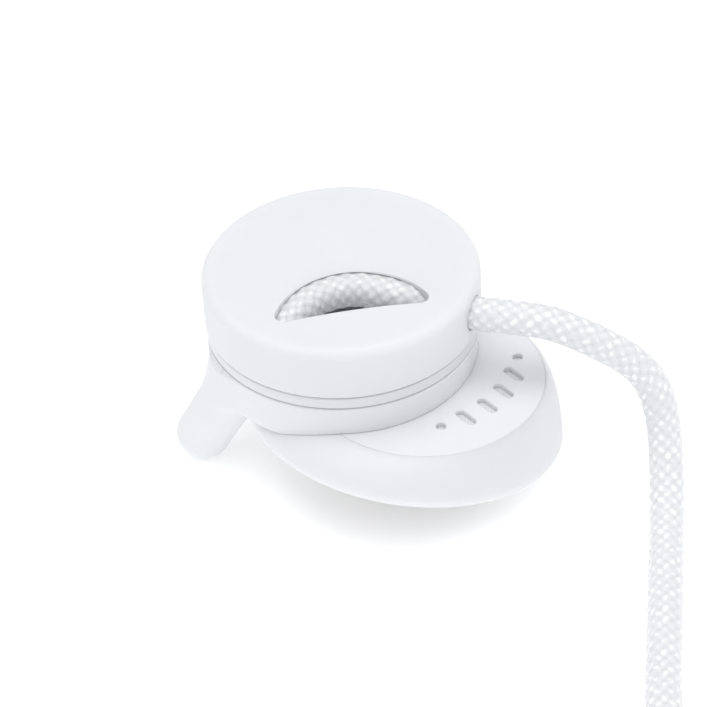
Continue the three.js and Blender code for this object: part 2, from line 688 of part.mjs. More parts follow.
// from the exit: out level, over and down to the surface, then along it to the coil; the heights
// drawn here are for an exit 11.85 high, and are stretched to the real one
const LIE_Z = CORD_R + 0.05;
const fall = (CAP_TOP - EXIT_DROP - LIE_Z) / 10.8;
const runRoute = [
  [8.36, -3.34, 11.85],
  [9.2, -3.58, 11.86],
  [10.04, -3.76, 11.83],
  [11.74, -4.02, 11.58],
  [13.35, -4.28, 10.98],
  [14.87, -4.52, 10.17],
  [16.32, -4.73, 9.22],
  [17.52, -5.06, 8.04],
  [18.22, -5.64, 6.57],
  [18.5, -6.44, 5.06],
  [18.54, -7.45, 3.64],
  [18.48, -8.68, 2.42],
  [18.32, -10.15, 1.51],
  [18.1, -11.8, 1.09],
  [17.85, -13.5, 1.05],
  [17.35, -17.0, 1.05],
  [16.85, -20.5, 1.05],
  [16.36, -24.0, 1.05],
  [16.12, -28.5, 1.05],
  [16.02, -33.5, 1.1],
  [16.0, -39.0, 1.3],
  [16.0, -44.8, 1.55],
].map(([x, y, z]) => [x, y, LIE_Z + (z - 1.05) * fall]);
// from the coil's top turn down to the plug, which lies beside the coil
const tailRoute = [
  [16.0, -61.2, 7.6],
  [15.85, -63.6, 7.3],
  [15.2, -66.2, 6.5],
  [13.8, -68.9, 5.4],
  [11.6, -71.2, 4.2],
  [9.0, -72.6, 3.35],
  [6.4, -73.0, 3.08],
  [4.6, -73.0, 3.05],
];
piece('cord_run', bar(runRoute, CORD_R, 8, 44), braid, lead);
piece('cord_tail', bar(tailRoute, CORD_R, 8, 12), braid, lead);

const coilRing = turned([
  [coilIn + 0.5, coilLow],
  [coilOut - 0.5, coilLow],
  [coilOut, coilLow + 0.5],
  [coilOut, coilHigh - 0.5],
  [coilOut - 0.5, coilHigh],
  [coilIn + 0.5, coilHigh],
  [coilIn, coilHigh - 0.5],
  [coilIn, coilLow + 0.5],
], 40).translate(COIL_X, COIL_Y, 0);
piece('cord_coil', coilRing, braid, lead);

// strap tie round the coil's turns, on the side away from the plug's tail
const tieShape = new THREE.Shape();
const tieIn = [coilIn - 0.35, coilOut + 0.25];
tieShape.moveTo(tieIn[0] - TIE_THICK, coilLow - REST - TIE_THICK);
tieShape.lineTo(tieIn[1] + TIE_THICK, coilLow - REST - TIE_THICK);
tieShape.lineTo(tieIn[1] + TIE_THICK, coilHigh + REST + TIE_THICK);
tieShape.lineTo(tieIn[0] - TIE_THICK, coilHigh + REST + TIE_THICK);
const tieHole = new THREE.Path();
tieHole.moveTo(tieIn[0], coilLow - REST);
tieHole.lineTo(tieIn[0], coilHigh + REST);
tieHole.lineTo(tieIn[1], coilHigh + REST);
tieHole.lineTo(tieIn[1], coilLow - REST);
tieShape.holes.push(tieHole);
const tieBlank = welded(new THREE.ExtrudeGeometry(tieShape, { depth: TIE_WIDE, bevelEnabled: false }));
tieBlank.rotateX(Math.PI / 2).translate(0, TIE_WIDE / 2, 0).rotateZ(Math.PI).translate(COIL_X, COIL_Y, 0);
piece('coil_tie', tieBlank, strap, lead);

// plug, lying on its barrel, its pin pointing to the left
const plug = new THREE.Group();
const [tailX, tailY] = tailRoute.at(-1);
plug.position.set(tailX - CORD_GAP, tailY, PLUG_BARREL_R + 0.05);
plug.rotation.y = -Math.PI / 2;
lead.add(plug);
const reliefEnd = PLUG_RELIEF_LONG;
const barrelEnd = reliefEnd + REST + PLUG_BARREL_LONG;
piece('plug_relief', turned([
  [0, 0],
  [CORD_R + 0.35, 0],
  [CORD_R + 0.5, 0.6],
  [PLUG_BARREL_R - 0.9, reliefEnd],
  [0, reliefEnd],
], SMALL), silicone, plug);
piece('plug_barrel', turned([
  [0, reliefEnd + REST],
  [PLUG_BARREL_R - 0.5, reliefEnd + REST],
  [PLUG_BARREL_R, reliefEnd + REST + 0.5],
  [PLUG_BARREL_R, barrelEnd - 0.4],
  [PLUG_BARREL_R - 0.4, barrelEnd],
  [0, barrelEnd],
], SMALL), softTouch, plug);
const collarEnd = barrelEnd + REST + 1.0;
piece('plug_collar', disc(PLUG_PIN_R + 0.7, barrelEnd + REST, collarEnd, SMALL), nickel, plug);
const sleeveEnd = collarEnd + REST + PLUG_SLEEVE_LONG;
piece('plug_sleeve_contact', disc(PLUG_PIN_R, collarEnd + REST, sleeveEnd, SMALL), nickel, plug);
const bandEnd = sleeveEnd + REST + PLUG_BAND_LONG;
piece('plug_insulator', disc(PLUG_PIN_R - 0.02, sleeveEnd + REST, bandEnd, SMALL), dark, plug);
const tipStart = bandEnd + REST;
const tipEnd = tipStart + PLUG_TIP_LONG;
piece('plug_tip_contact', turned([
  [0, tipStart],
  [PLUG_PIN_R, tipStart],
  [PLUG_PIN_R, tipStart + 1.4],
  [PLUG_PIN_R - 0.6, tipStart + 2.4],
  [PLUG_PIN_R - 0.1, tipStart + 3.3],
  [PLUG_PIN_R - 0.9, tipEnd - 0.2],
  [0, tipEnd],
], SMALL), nickel, plug);

// ---------------------------------------------------------------- origin

model.updateMatrixWorld(true);
lead.position.set(exitPoint.x - 7.78, exitPoint.y + 3.17, 0);
model.updateMatrixWorld(true);
const box = new THREE.Box3().setFromObject(bud, true);
const middle = box.getCenter(new THREE.Vector3());
model.position.set(-middle.x, -middle.y, -box.min.z);
model.updateMatrixWorld(true);

export default model;
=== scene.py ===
import math

import bpy
import numpy as np
from mathutils import Matrix, Vector


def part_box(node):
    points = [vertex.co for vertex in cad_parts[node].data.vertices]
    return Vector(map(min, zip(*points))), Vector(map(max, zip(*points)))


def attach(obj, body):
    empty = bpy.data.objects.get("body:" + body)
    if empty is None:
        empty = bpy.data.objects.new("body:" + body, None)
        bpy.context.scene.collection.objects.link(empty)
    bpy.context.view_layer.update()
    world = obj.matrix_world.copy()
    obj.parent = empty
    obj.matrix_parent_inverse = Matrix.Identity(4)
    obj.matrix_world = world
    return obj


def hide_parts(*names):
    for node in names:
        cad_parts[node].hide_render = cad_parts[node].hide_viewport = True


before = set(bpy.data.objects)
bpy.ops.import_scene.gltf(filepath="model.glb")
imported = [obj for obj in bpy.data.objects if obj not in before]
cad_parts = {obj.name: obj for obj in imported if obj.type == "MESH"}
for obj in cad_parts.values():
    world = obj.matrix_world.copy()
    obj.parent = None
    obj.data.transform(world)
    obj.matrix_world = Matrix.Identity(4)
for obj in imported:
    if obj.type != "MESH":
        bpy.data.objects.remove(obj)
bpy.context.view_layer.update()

# ------------------------------------------------------------------ where the bud is measured from
# Every size below is in millimetres from the bud's own datum: the axis of its round cap, and the
# surface that it lies on, with the top of the cap 13.5 above that. in_frame() turns it to metres.
cap_low, cap_high = (np.array(corner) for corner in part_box("cap_shell"))
datum = np.append((cap_low[:2] + cap_high[:2]) / 2, cap_high[2] - 0.0135)


def in_frame(points):
    """Points of the bud's datum in millimetres, as metres in the model's frame: a thousandth, moved."""
    return np.asarray(points, float) * 0.001 + datum


# ------------------------------------------------------------------ camera
# The camera stands in front of the bud and above it, with a long lens, and leans a little to one
# side, so that the table's level runs slightly uphill.
camera_at = in_frame([0.49, -116.64, 13.5 + 89.37])
pitch = math.radians(39.5)
roll = math.radians(-3.1)
ahead = Vector((0, math.cos(pitch), -math.sin(pitch)))
level_up = Vector((0, math.sin(pitch), math.cos(pitch)))
level_right = Vector((1, 0, 0))
right = level_right * math.cos(roll) + level_up * math.sin(roll)
up = level_up * math.cos(roll) - level_right * math.sin(roll)
lens = bpy.data.cameras.new("product_lens")
lens.lens = 127.3
lens.sensor_width = 36
lens.clip_start = 0.005
lens.clip_end = 20
camera = bpy.data.objects.new("product_camera", lens)
turned_to = Matrix((right, up, -ahead)).transposed()
camera.matrix_world = Matrix.Translation(Vector(camera_at)) @ turned_to.to_4x4()
bpy.context.scene.collection.objects.link(camera)
bpy.context.scene.camera = camera
bpy.context.scene.view_settings.view_transform = "Standard"

# ------------------------------------------------------------------ braided cord
# A 2 mm cord in a glossy white polyester braid, sixteen yarns over a soft core. It starts in its
# crimp inside the cap, fills the crescent window, leaves the cap's side, drops to the table and
# runs to a coil of sixteen turns, whose other end carries the plug.
cord_radius = 1.0
braid_yarns = 8  # each way round
braid_pitch = 0.84  # along the cord, from one yarn to the next
coil_x, coil_y = 2.0, -53.0

inside_cap = np.array([
    (-4.15, -4.55, 11.87), (-3.64, -3.93, 12.04), (-3.07, -3.23, 12.23), (-2.47, -2.52, 12.36),
    (-1.75, -1.88, 12.43), (-0.9, -1.42, 12.46), (0.0, -1.15, 12.47), (1.0, -1.14, 12.47),
    (2.0, -1.38, 12.44), (3.0, -1.69, 12.36), (4.0, -2.0, 12.23), (5.0, -2.31, 12.07),
    (6.0, -2.62, 11.93), (7.0, -2.93, 11.85), (7.78, -3.17, 11.85),
])
down_to_table = np.array([
    (8.36, -3.34, 11.85), (9.2, -3.58, 11.86), (10.04, -3.76, 11.83), (11.74, -4.02, 11.58),
    (13.35, -4.28, 10.98), (14.87, -4.52, 10.17), (16.32, -4.73, 9.22), (17.52, -5.06, 8.04),
    (18.22, -5.64, 6.57), (18.5, -6.44, 5.06), (18.54, -7.45, 3.64), (18.48, -8.68, 2.42),
    (18.32, -10.15, 1.51), (18.1, -11.8, 1.09), (17.85, -13.5, 1.05), (17.35, -17.0, 1.05),
    (16.85, -20.5, 1.05), (16.36, -24.0, 1.05), (16.12, -28.5, 1.05), (16.02, -33.5, 1.1),
    (16.0, -39.0, 1.3), (16.0, -44.8, 1.55),
])
up_to_plug = np.array([
    (16.0, -61.2, 7.6), (15.85, -63.6, 7.3), (15.2, -66.2, 6.5), (13.8, -68.9, 5.4),
    (11.6, -71.2, 4.2), (9.0, -72.6, 3.35), (6.4, -73.0, 3.08), (4.3, -73.0, 3.05),
])


def coiled_turns(per_turn=24):
    """Points of the coil, a helix seen from above turning clockwise. Its radius steps through
    14, 12, 10, 8 mm and back, a layer at a time, and its height rises 2 mm for each layer. Each
    step is taken smoothly in the last fifth of a turn."""
    radii = np.array([14, 12, 10, 8, 8, 10, 12, 14] * 2 + [14.0])
    levels = np.append(np.repeat([1.6, 3.6, 5.6, 7.6], 4), 7.6)
    turn = np.arange(0, 16 * per_turn + 1) / per_turn
    whole = np.minimum(turn.astype(int), 15)
    part = np.clip((turn - whole - 0.8) / 0.2, 0, 1)
    ease = part * part * (3 - 2 * part)
    radius = radii[whole] + (radii[whole + 1] - radii[whole]) * ease
    height = levels[whole] + (levels[whole + 1] - levels[whole]) * ease
    angle = -2 * math.pi * turn
    return np.stack([coil_x + radius * np.cos(angle), coil_y + radius * np.sin(angle), height], 1)


def smooth_line(points, spacings):
    """The natural cubic spline through some points, worked out by chord length: the second
    derivatives at the points solve the usual three-diagonal system. spacings pairs a chord
    length with the step between the samples up to it."""
    knots = np.append(0, np.cumsum(np.linalg.norm(np.diff(points, axis=0), axis=1)))
    gap = np.diff(knots)
    slope = np.diff(points, axis=0) / gap[:, None]
    inner = np.arange(1, len(points) - 1)
    system = np.eye(len(points))
    system[inner, inner - 1] = gap[:-1]
    system[inner, inner] = 2 * (gap[:-1] + gap[1:])
    system[inner, inner + 1] = gap[1:]
    bend = np.zeros_like(points)
    bend[1:-1] = 6 * np.diff(slope, axis=0)
    bend = np.linalg.solve(system, bend)
    edges = [0] + [until for until, step in spacings[:-1]] + [knots[-1]]
    along = np.concatenate([
        np.linspace(a, b, max(2, round((b - a) / step)), endpoint=False)
        for a, b, (until, step) in zip(edges[:-1], edges[1:], spacings)
    ] + [knots[-1:]])
    i = np.clip(np.searchsorted(knots, along, side="right") - 1, 0, len(gap) - 1)
    p, q, h = (along - knots[i])[:, None], (knots[i + 1] - along)[:, None], gap[i][:, None]
    return (
        (bend[i] * q**3 + bend[i + 1] * p**3) / (6 * h)
        + (points[i] / h - bend[i] * h / 6) * q
        + (points[i + 1] / h - bend[i + 1] * h / 6) * p
    )


def put_mesh(name, points, faces, crease=35):
    """An object of the given points in millimetres from the datum, smooth but for creases sharper
    than the given angle. If its signed volume is negative, its faces are turned to point outwards."""
    shape = bpy.data.meshes.new(name)
    shape.from_pydata(in_frame(points), [], faces)
    shape.update()
    shape.calc_loop_triangles()
    corners = np.zeros(len(shape.loop_triangles) * 3, int)
    shape.loop_triangles.foreach_get("vertices", corners)
    a, b, c = np.asarray(points, float)[corners].reshape(-1, 3, 3).transpose(1, 0, 2)
    if np.sum(a * np.cross(b, c)) < 0:
        shape.flip_normals()
    shape.shade_smooth()
    shape.set_sharp_from_angle(angle=math.radians(crease))
    thing = bpy.data.objects.new(name, shape)
    bpy.context.scene.collection.objects.link(thing)
    return thing


def skin(name, rows, loop=False, crease=35):
    """The surface over rows of points, each row a closed ring of the same number of points. With
    loop the last row joins the first; otherwise a fan to its own middle closes each end."""
    count, around = rows.shape[:2]
    points = rows.reshape(-1, 3)
    j = np.arange(count if loop else count - 1)[:, None]
    i = np.arange(around)[None, :]
    k = (i + 1) % around
    here, there = j * around, (j + 1) % count * around
    faces = np.stack([here + i, here + k, there + k, there + i], -1).reshape(-1, 4).tolist()
    if not loop:
        points = np.concatenate([points, rows[:1].mean(1), rows[-1:].mean(1)])
        first, last = count * around, count * around + 1
        i, k = i[0], k[0]
        faces += np.stack([np.full(around, first), k, i], 1).tolist()
        end = (count - 1) * around
        faces += np.stack([np.full(around, last), end + i, end + k], 1).tolist()
    return put_mesh(name, points, faces, crease)


def braid_height(around, along):
    """Height of the braid's outside, from 0 between the yarns to about 1.5 on the crowns. Two sets
    of yarns run along lines where around+along, or around-along, is a whole number. Each has a
    rounded section, rides up over one yarn of the other set and dips under the next."""
    one, two = around + along, around - along
    over = np.cos(np.pi * np.floor(one)) * np.cos(np.pi * (two - 0.5))
    under = -np.cos(np.pi * np.floor(two)) * np.cos(np.pi * (one - 0.5))
    section = [1 - (2 * np.mod(w, 1) - 1) ** 2 for w in (one, two)]
    return np.maximum(section[0] + 0.5 * over, section[1] + 0.5 * under)


route = np.concatenate([inside_cap, down_to_table, coiled_turns(), up_to_plug])
before_coil = np.linalg.norm(np.diff(np.concatenate([inside_cap, down_to_table]), axis=0), axis=1).sum()
coil_length = 1105
centre = smooth_line(route, [(before_coil - 14, 0.1), (before_coil + 8 + coil_length, 0.92), (9999, 0.3)])
length_along = np.append(0, np.cumsum(np.linalg.norm(np.diff(centre, axis=0), axis=1)))
tangent = np.gradient(centre, length_along, axis=0)
tangent /= np.linalg.norm(tangent, axis=1)[:, None]
sideways = np.cross([0, 0, 1], tangent)
sideways /= np.linalg.norm(sideways, axis=1)[:, None]
upward = np.cross(tangent, sideways)
cord_sides = 40
angle = np.linspace(0, 2 * math.pi, cord_sides, endpoint=False)
yarn_round = np.broadcast_to(angle / (2 * math.pi) * braid_yarns, (len(centre), cord_sides))
yarn_along = np.broadcast_to(length_along[:, None] / braid_pitch, yarn_round.shape)
mean_height, braid_relief = 0.75, 0.055
relief_shown = np.clip((before_coil - 12 - length_along) / 4, 0, 1)[:, None]
relief = mean_height + (braid_height(yarn_round, yarn_along) - mean_height) * relief_shown
radius = (cord_radius - braid_relief + braid_relief * relief)[:, :, None]
cord = skin("cord", centre[:, None] + radius * (
    sideways[:, None] * np.cos(angle)[None, :, None] + upward[:, None] * np.sin(angle)[None, :, None]
), crease=80)

# the braid's own coordinates: yarns round the cord, and pitches along it
corner_point = np.zeros(len(cord.data.loops), int)
cord.data.loops.foreach_get("vertex_index", corner_point)
on_tube = np.minimum(corner_point, len(centre) * cord_sides - 1)
column, row = on_tube % cord_sides, on_tube // cord_sides
face_start = np.zeros(len(cord.data.polygons), int)
face_size = np.zeros(len(cord.data.polygons), int)
cord.data.polygons.foreach_get("loop_start", face_start)
cord.data.polygons.foreach_get("loop_total", face_size)
face_of = np.repeat(np.arange(len(face_start)), face_size)
highest = np.maximum.reduceat(column, face_start)[face_of]
column = np.where((highest == cord_sides - 1) & (column == 0), cord_sides, column)
braid_uv = cord.data.uv_layers.new(name="braid")
braid_uv.data.foreach_set("uv", np.stack([
    column / cord_sides * braid_yarns, length_along[row] / braid_pitch
], 1).astype(np.float32).ravel())


def new_finish(name):
    """An empty material with its principled shader, and its tree of nodes."""
    made = bpy.data.materials.new(name)
    made.use_nodes = True
    return made, made.node_tree, made.node_tree.nodes["Principled BSDF"]


def node(tree, kind, inputs=None, out=0, **settings):
    """One shader node. Its inputs are numbers, colours or other nodes' sockets; it gives back one
    of its own outputs."""
    made = tree.nodes.new("ShaderNode" + kind)
    for name, value in settings.items():
        setattr(made, name, value)
    for name, value in (inputs or {}).items():
        if isinstance(value, bpy.types.NodeSocket):
            tree.links.new(value, made.inputs[name])
        else:
            made.inputs[name].default_value = value
    return made.outputs[out]


def sum_of(tree, work, *values):
    """One step of arithmetic on sockets or numbers."""
    return node(tree, "Math", dict(enumerate(values)), operation=work)


def two_tone(tree, share, dark, light):
    """A colour between two others, by a share from 0 to 1."""
    made = tree.nodes.new("ShaderNodeMix")
    made.data_type = "RGBA"
    tree.links.new(share, made.inputs[0])
    made.inputs[6].default_value = (*dark, 1)
    made.inputs[7].default_value = (*light, 1)
    return made.outputs[2]


def raised(tree, shader, height, depth, strength=1.0):
    """Gives a shader a bump of a depth in metres."""
    bump = node(tree, "Bump", {"Height": height, "Distance": depth, "Strength": strength})
    tree.links.new(bump, shader.inputs["Normal"])


def braid_finish():
    """The same braid as braid_height(), as bump and as painted shade, with five threads drawn along each
    yarn. The colour follows the height, so the corners between yarns and threads are greyer: painted shade.
    A painted highlight whitens the crowns where a noise runs high, and the yarns are glossy."""
    made, tree, shader = new_finish("braid_white")
    apart = node(tree, "SeparateXYZ", {"Vector": node(tree, "UVMap", uv_map="braid")})
    along = apart.node.outputs[1]
    ways = [sum_of(tree, "ADD", apart, along), sum_of(tree, "SUBTRACT", apart, along)]
    heights, threads = [], []
    for this, other, sign in ((ways[0], ways[1], 0.5), (ways[1], ways[0], -0.5)):
        across = sum_of(tree, "MULTIPLY_ADD", sum_of(tree, "FRACT", this), 2.0, -1.0)
        section = sum_of(tree, "MULTIPLY_ADD", across, sum_of(tree, "MULTIPLY", across, -1.0), 1.0)
        flip = sum_of(tree, "COSINE", sum_of(tree, "MULTIPLY", sum_of(tree, "FLOOR", this), math.pi))
        wave = sum_of(tree, "COSINE", sum_of(tree, "MULTIPLY_ADD", other, math.pi, -math.pi / 2))
        ride = sum_of(tree, "MULTIPLY", sum_of(tree, "MULTIPLY", flip, wave), sign)
        heights.append(sum_of(tree, "ADD", section, ride))
        threads.append(sum_of(tree, "SINE", sum_of(tree, "MULTIPLY", this, 10 * math.pi)))
    top = sum_of(tree, "MAXIMUM", *heights)
    first_on_top = sum_of(tree, "GREATER_THAN", *heights)
    thread = sum_of(tree, "ADD",
                    sum_of(tree, "MULTIPLY", threads[0], first_on_top),
                    sum_of(tree, "MULTIPLY", threads[1], sum_of(tree, "SUBTRACT", 1.0, first_on_top)))
    place = node(tree, "TexCoord", out=3)
    stray = node(tree, "TexNoise", {"Vector": place, "Scale": 2100.0, "Detail": 3.0})
    height = sum_of(tree, "MULTIPLY_ADD", thread, 0.1, sum_of(tree, "MULTIPLY_ADD", stray, 0.5, top))
    # Painted shade: the colour darkens where the braid's height is low, between the yarns and the threads.
    painted_shade = node(tree, "MapRange", {"Value": height, "From Min": 0.4, "From Max": 1.5})
    # Painted highlight: where the noise and the height are both high, the colour is mixed towards white.
    painted_glint_mask = sum_of(tree, "MULTIPLY", stray, top)
    painted_glint = node(tree, "MapRange", {"Value": painted_glint_mask, "From Min": 0.62, "From Max": 0.82})
    body = two_tone(tree, painted_shade, (0.73, 0.74, 0.76), (0.79, 0.80, 0.82))
    colour_with_painted_glint = node(tree, "Mix", {0: painted_glint, 6: body, 7: (0.97, 0.975, 0.98, 1)}, out=2, data_type="RGBA")
    tree.links.new(colour_with_painted_glint, shader.inputs["Base Color"])
    gloss = node(tree, "MapRange", {
        "Value": stray, "From Min": 0.3, "From Max": 0.7, "To Min": 0.5, "To Max": 0.2})
    tree.links.new(gloss, shader.inputs["Roughness"])
    shader.inputs["Specular IOR Level"].default_value = 0.7
    shader.inputs["Sheen Weight"].default_value = 0.15
    shader.inputs["Subsurface Weight"].default_value = 0.6
    shader.inputs["Subsurface Radius"].default_value = (1, 1, 1)
    shader.inputs["Subsurface Scale"].default_value = 0.0014
    raised(tree, shader, height, 0.00005, 0.7)
    return made


cord.data.materials.append(braid_finish())
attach(cord, "housing")
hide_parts("cord_inner", "cord_run", "cord_coil", "cord_tail")

# ------------------------------------------------------------------ coil tie
# A white hook-and-loop strap, 3 mm wide and 0.5 mm thick, closed round the coil's turns on their
# left side.
tie_in, tie_out, tie_low, tie_high = 6.65, 15.25, 0.57, 8.63
tie_thick, tie_wide = 0.5, 3.0


def strap_rows():
    """A rounded rectangle round the coil's section, carrying a flat section with soft edges: the
    path's corners are quarter circles, and the section is a superellipse stood on the path."""
    bend = 0.8
    middle = np.array([(tie_in + tie_out) / 2, (tie_low + tie_high) / 2])
    half = np.array([(tie_out - tie_in) / 2, (tie_high - tie_low) / 2]) - bend
    turn = np.linspace(0, 2 * math.pi, 160, endpoint=False)
    way = np.stack([np.cos(turn), np.sin(turn)], 1)
    square = way / np.abs(way).max(1)[:, None]
    corner = np.clip(square * 1.6, -1, 1) * half
    lean = square * (half + bend) - corner
    lean /= np.linalg.norm(lean, axis=1)[:, None]
    inner = middle + corner + lean * bend
    section = np.linspace(0, 2 * math.pi, 24, endpoint=False)
    wide = np.sign(np.cos(section)) * np.abs(np.cos(section)) ** 0.35 * tie_wide / 2
    thick = (1 + np.sign(np.sin(section)) * np.abs(np.sin(section)) ** 0.6) * tie_thick / 2
    out = inner[:, None] + lean[:, None] * thick[None, :, None]
    return np.stack([coil_x - out[..., 0], coil_y + np.broadcast_to(wide, out.shape[:2]), out[..., 1]], -1)


coil_tie = skin("hook_and_loop_tie", strap_rows(), loop=True, crease=60)


def woven_finish(name, dark, light, pitch, depth, rough, axes=(0, 1), fuzz=0.2):
    """A plain weave on the object's own axes: two sets of threads, each a sine wave across, that take turns
    on top. Its colour goes from dark to light with the weave's height, which is painted shade in the dips
    between threads. Its pitch and depth are in metres."""
    made, tree, shader = new_finish(name)
    place = node(tree, "TexCoord", out=3)
    apart = node(tree, "SeparateXYZ", {"Vector": place}).node
    waves = []
    for axis in axes:
        turn = sum_of(tree, "MULTIPLY", apart.outputs[axis], math.pi / pitch)
        waves.append((sum_of(tree, "SINE", turn), sum_of(tree, "COSINE", turn)))
    under = sum_of(tree, "MULTIPLY", waves[0][1], -1.0)
    warp_lift = sum_of(tree, "MULTIPLY_ADD", waves[1][1], waves[0][1], 1.2)
    weft_lift = sum_of(tree, "MULTIPLY_ADD", waves[1][1], under, 1.2)
    warp = sum_of(tree, "MULTIPLY", sum_of(tree, "ABSOLUTE", waves[0][0]), warp_lift)
    weft = sum_of(tree, "MULTIPLY", sum_of(tree, "ABSOLUTE", waves[1][0]), weft_lift)
    hair = node(tree, "TexNoise", {"Vector": place, "Scale": 1.4 / pitch, "Detail": 4.0})
    height = sum_of(tree, "MULTIPLY_ADD", hair, fuzz, sum_of(tree, "MAXIMUM", warp, weft))
    # Painted shade: the low parts of the weave get the dark colour, and the high parts the light one.
    painted_shade = node(tree, "MapRange", {"Value": height, "From Min": 0.3, "From Max": 2.0})
    tree.links.new(two_tone(tree, painted_shade, dark, light), shader.inputs["Base Color"])
    gloss = node(tree, "MapRange", {"Value": hair, "To Min": rough - 0.12, "To Max": min(1.0, rough + 0.12)})
    tree.links.new(gloss, shader.inputs["Roughness"])
    raised(tree, shader, height, depth, 0.8)
    return made


coil_tie.data.materials.append(woven_finish(
    "strap_white", (0.62, 0.63, 0.65), (0.84, 0.85, 0.87), 0.00035, 0.00012, 0.85, axes=(1, 2), fuzz=1.1))
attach(coil_tie, "housing")
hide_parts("coil_tie")

# ------------------------------------------------------------------ plug
# The common 3.5 mm plug: a soft relief moulded over the cord, a white barrel, and a turned pin of
# nickel-plated brass with a dark ring that parts its sleeve from its tip. It lies on its barrel,
# pointing to the left.
plug_tail = np.array([4.3, -73.0, 3.05])


def turned(profile, place=(0, 0, 0), axis=(0, 0, 1), facets=96, name="turned"):
    """A profile of (radius, height) points spun about an axis through a place. A profile with both
    ends on the axis closes there, and any other closes on itself as a ring."""
    profile = np.array(profile, float)
    solid_of = profile[0, 0] < 1e-6 and profile[-1, 0] < 1e-6
    axis = np.array(axis, float) / np.linalg.norm(axis)
    across = np.cross([0.0, 1.0, 0.0], axis)
    across /= np.linalg.norm(across)
    along = np.cross(axis, across)
    if solid_of:
        profile = profile[1:-1]
    turn = np.linspace(0, 2 * math.pi, facets, endpoint=False)
    rim = across * np.cos(turn)[:, None] + along * np.sin(turn)[:, None]
    rows = np.array(place) + profile[:, :1, None] * rim[None] + profile[:, 1:, None] * axis
    return skin(name, rows, loop=not solid_of)


def rounded(r, z, size, start, end, steps=5):
    """Points of a rounded corner in a profile, a piece of a circle between two angles in degrees."""
    turn = np.radians(np.linspace(start, end, steps + 1))
    return [(r + size * math.cos(a), z + size * math.sin(a)) for a in turn]


def moulded_finish(name, colour, rough, grain=0.00012, depth=0.0000025, swing=0.012, soft=0.0,
                   coat=0.0, sheen=0.0):
    """Moulded plastic or rubber. A broad noise shifts its colour by a hair, as uneven wall and
    handling do; a fine noise, the tool's spark texture, gives it its grain and gloss."""
    made, tree, shader = new_finish(name)
    place = node(tree, "TexCoord", out=3)
    broad = node(tree, "TexNoise", {"Vector": place, "Scale": 260.0, "Detail": 3.0, "Roughness": 0.6})
    fine = node(tree, "TexNoise", {"Vector": place, "Scale": 1 / grain, "Detail": 4.0, "Roughness": 0.65})
    dark = tuple(c - swing for c in colour)
    light = tuple(min(1.0, c + swing) for c in colour)
    mottle = sum_of(tree, "MULTIPLY_ADD", fine, 0.45, broad)
    speck = node(tree, "MapRange", {"Value": mottle, "From Min": 0.42, "From Max": 1.05})
    tree.links.new(two_tone(tree, speck, dark, light), shader.inputs["Base Color"])
    gloss = node(tree, "MapRange", {
        "Value": sum_of(tree, "ADD", fine, broad), "From Min": 0.6, "From Max": 1.4,
        "To Min": rough - 0.06, "To Max": rough + 0.06})
    tree.links.new(gloss, shader.inputs["Roughness"])
    shader.inputs["Coat Weight"].default_value = coat
    shader.inputs["Sheen Weight"].default_value = sheen
    if soft:
        shader.inputs["Subsurface Weight"].default_value = soft
        shader.inputs["Subsurface Radius"].default_value = (1, 0.97, 0.94)
        shader.inputs["Subsurface Scale"].default_value = 0.0012
    raised(tree, shader, fine, depth, 0.7)
    return made


def metal_finish(name, colour, rough, scale, depth, stretch):
    """Bare or plated metal. A noise drawn out along one axis gives the marks of the tool, in its
    gloss and as a very fine bump, and a broad one dulls it in places, as fingers and air do."""
    made, tree, shader = new_finish(name)
    place = node(tree, "TexCoord", out=3)
    drawn = node(tree, "Mapping", {"Vector": place, "Scale": stretch})
    marks = node(tree, "TexNoise", {"Vector": drawn, "Scale": scale, "Detail": 5.0})
    cloud = node(tree, "TexNoise", {"Vector": place, "Scale": 420.0, "Detail": 3.0})
    tone = node(tree, "MapRange", {"Value": cloud, "From Min": 0.3, "From Max": 0.7})
    dull = tuple(c * 0.9 for c in colour)
    tree.links.new(two_tone(tree, tone, dull, colour), shader.inputs["Base Color"])
    gloss = node(tree, "MapRange", {
        "Value": sum_of(tree, "MULTIPLY_ADD", cloud, 0.5, marks), "From Min": 0.4, "From Max": 1.1,
        "To Min": rough - 0.08, "To Max": rough + 0.08})
    tree.links.new(gloss, shader.inputs["Roughness"])
    shader.inputs["Metallic"].default_value = 1.0
    raised(tree, shader, marks, depth, 0.6)
    return made


silicone_white = moulded_finish(
    "silicone_white", (0.825, 0.835, 0.858), 0.52, grain=0.0002, depth=0.000002, soft=0.12, sheen=0.1)
soft_touch_white = moulded_finish("soft_touch_white", (0.82, 0.83, 0.855), 0.6, soft=0.25, sheen=0.12)
nickel = metal_finish("nickel", (0.80, 0.79, 0.77), 0.2, 5200.0, 0.0000012, stretch=(9, 1, 1))
dark_plastic = moulded_finish("dark_plastic", (0.022, 0.023, 0.026), 0.45, swing=0.006)

relief_profile = [(0, 0), (1.12, 0)] + rounded(1.2, 0.18, 0.18, -90, 0)
for rib in range(6):
    foot = 0.75 + rib * 1.15
    wall = 1.45 + 0.11 * rib
    relief_profile += [(wall - 0.28, foot), (wall - 0.3, foot + 0.25)]
    relief_profile += rounded(wall - 0.12, foot + 0.47, 0.12, -70, 70, 4) + [(wall - 0.1, foot + 0.9)]
relief_profile += rounded(1.95, 7.85, 0.15, -10, 90) + [(0, 8.0)]
barrel_profile = [(0, 8.03), (2.2, 8.03)] + rounded(2.5, 8.53, 0.5, -80, 0, 6)
for groove in range(5):
    foot = 10.2 + groove * 0.9
    barrel_profile += [
        (3.0, foot), (2.9, foot + 0.1), (2.86, foot + 0.22), (2.9, foot + 0.34), (3.0, foot + 0.44)]
barrel_profile += rounded(2.6, 22.63, 0.4, 0, 90, 6) + [(0, 23.03)]
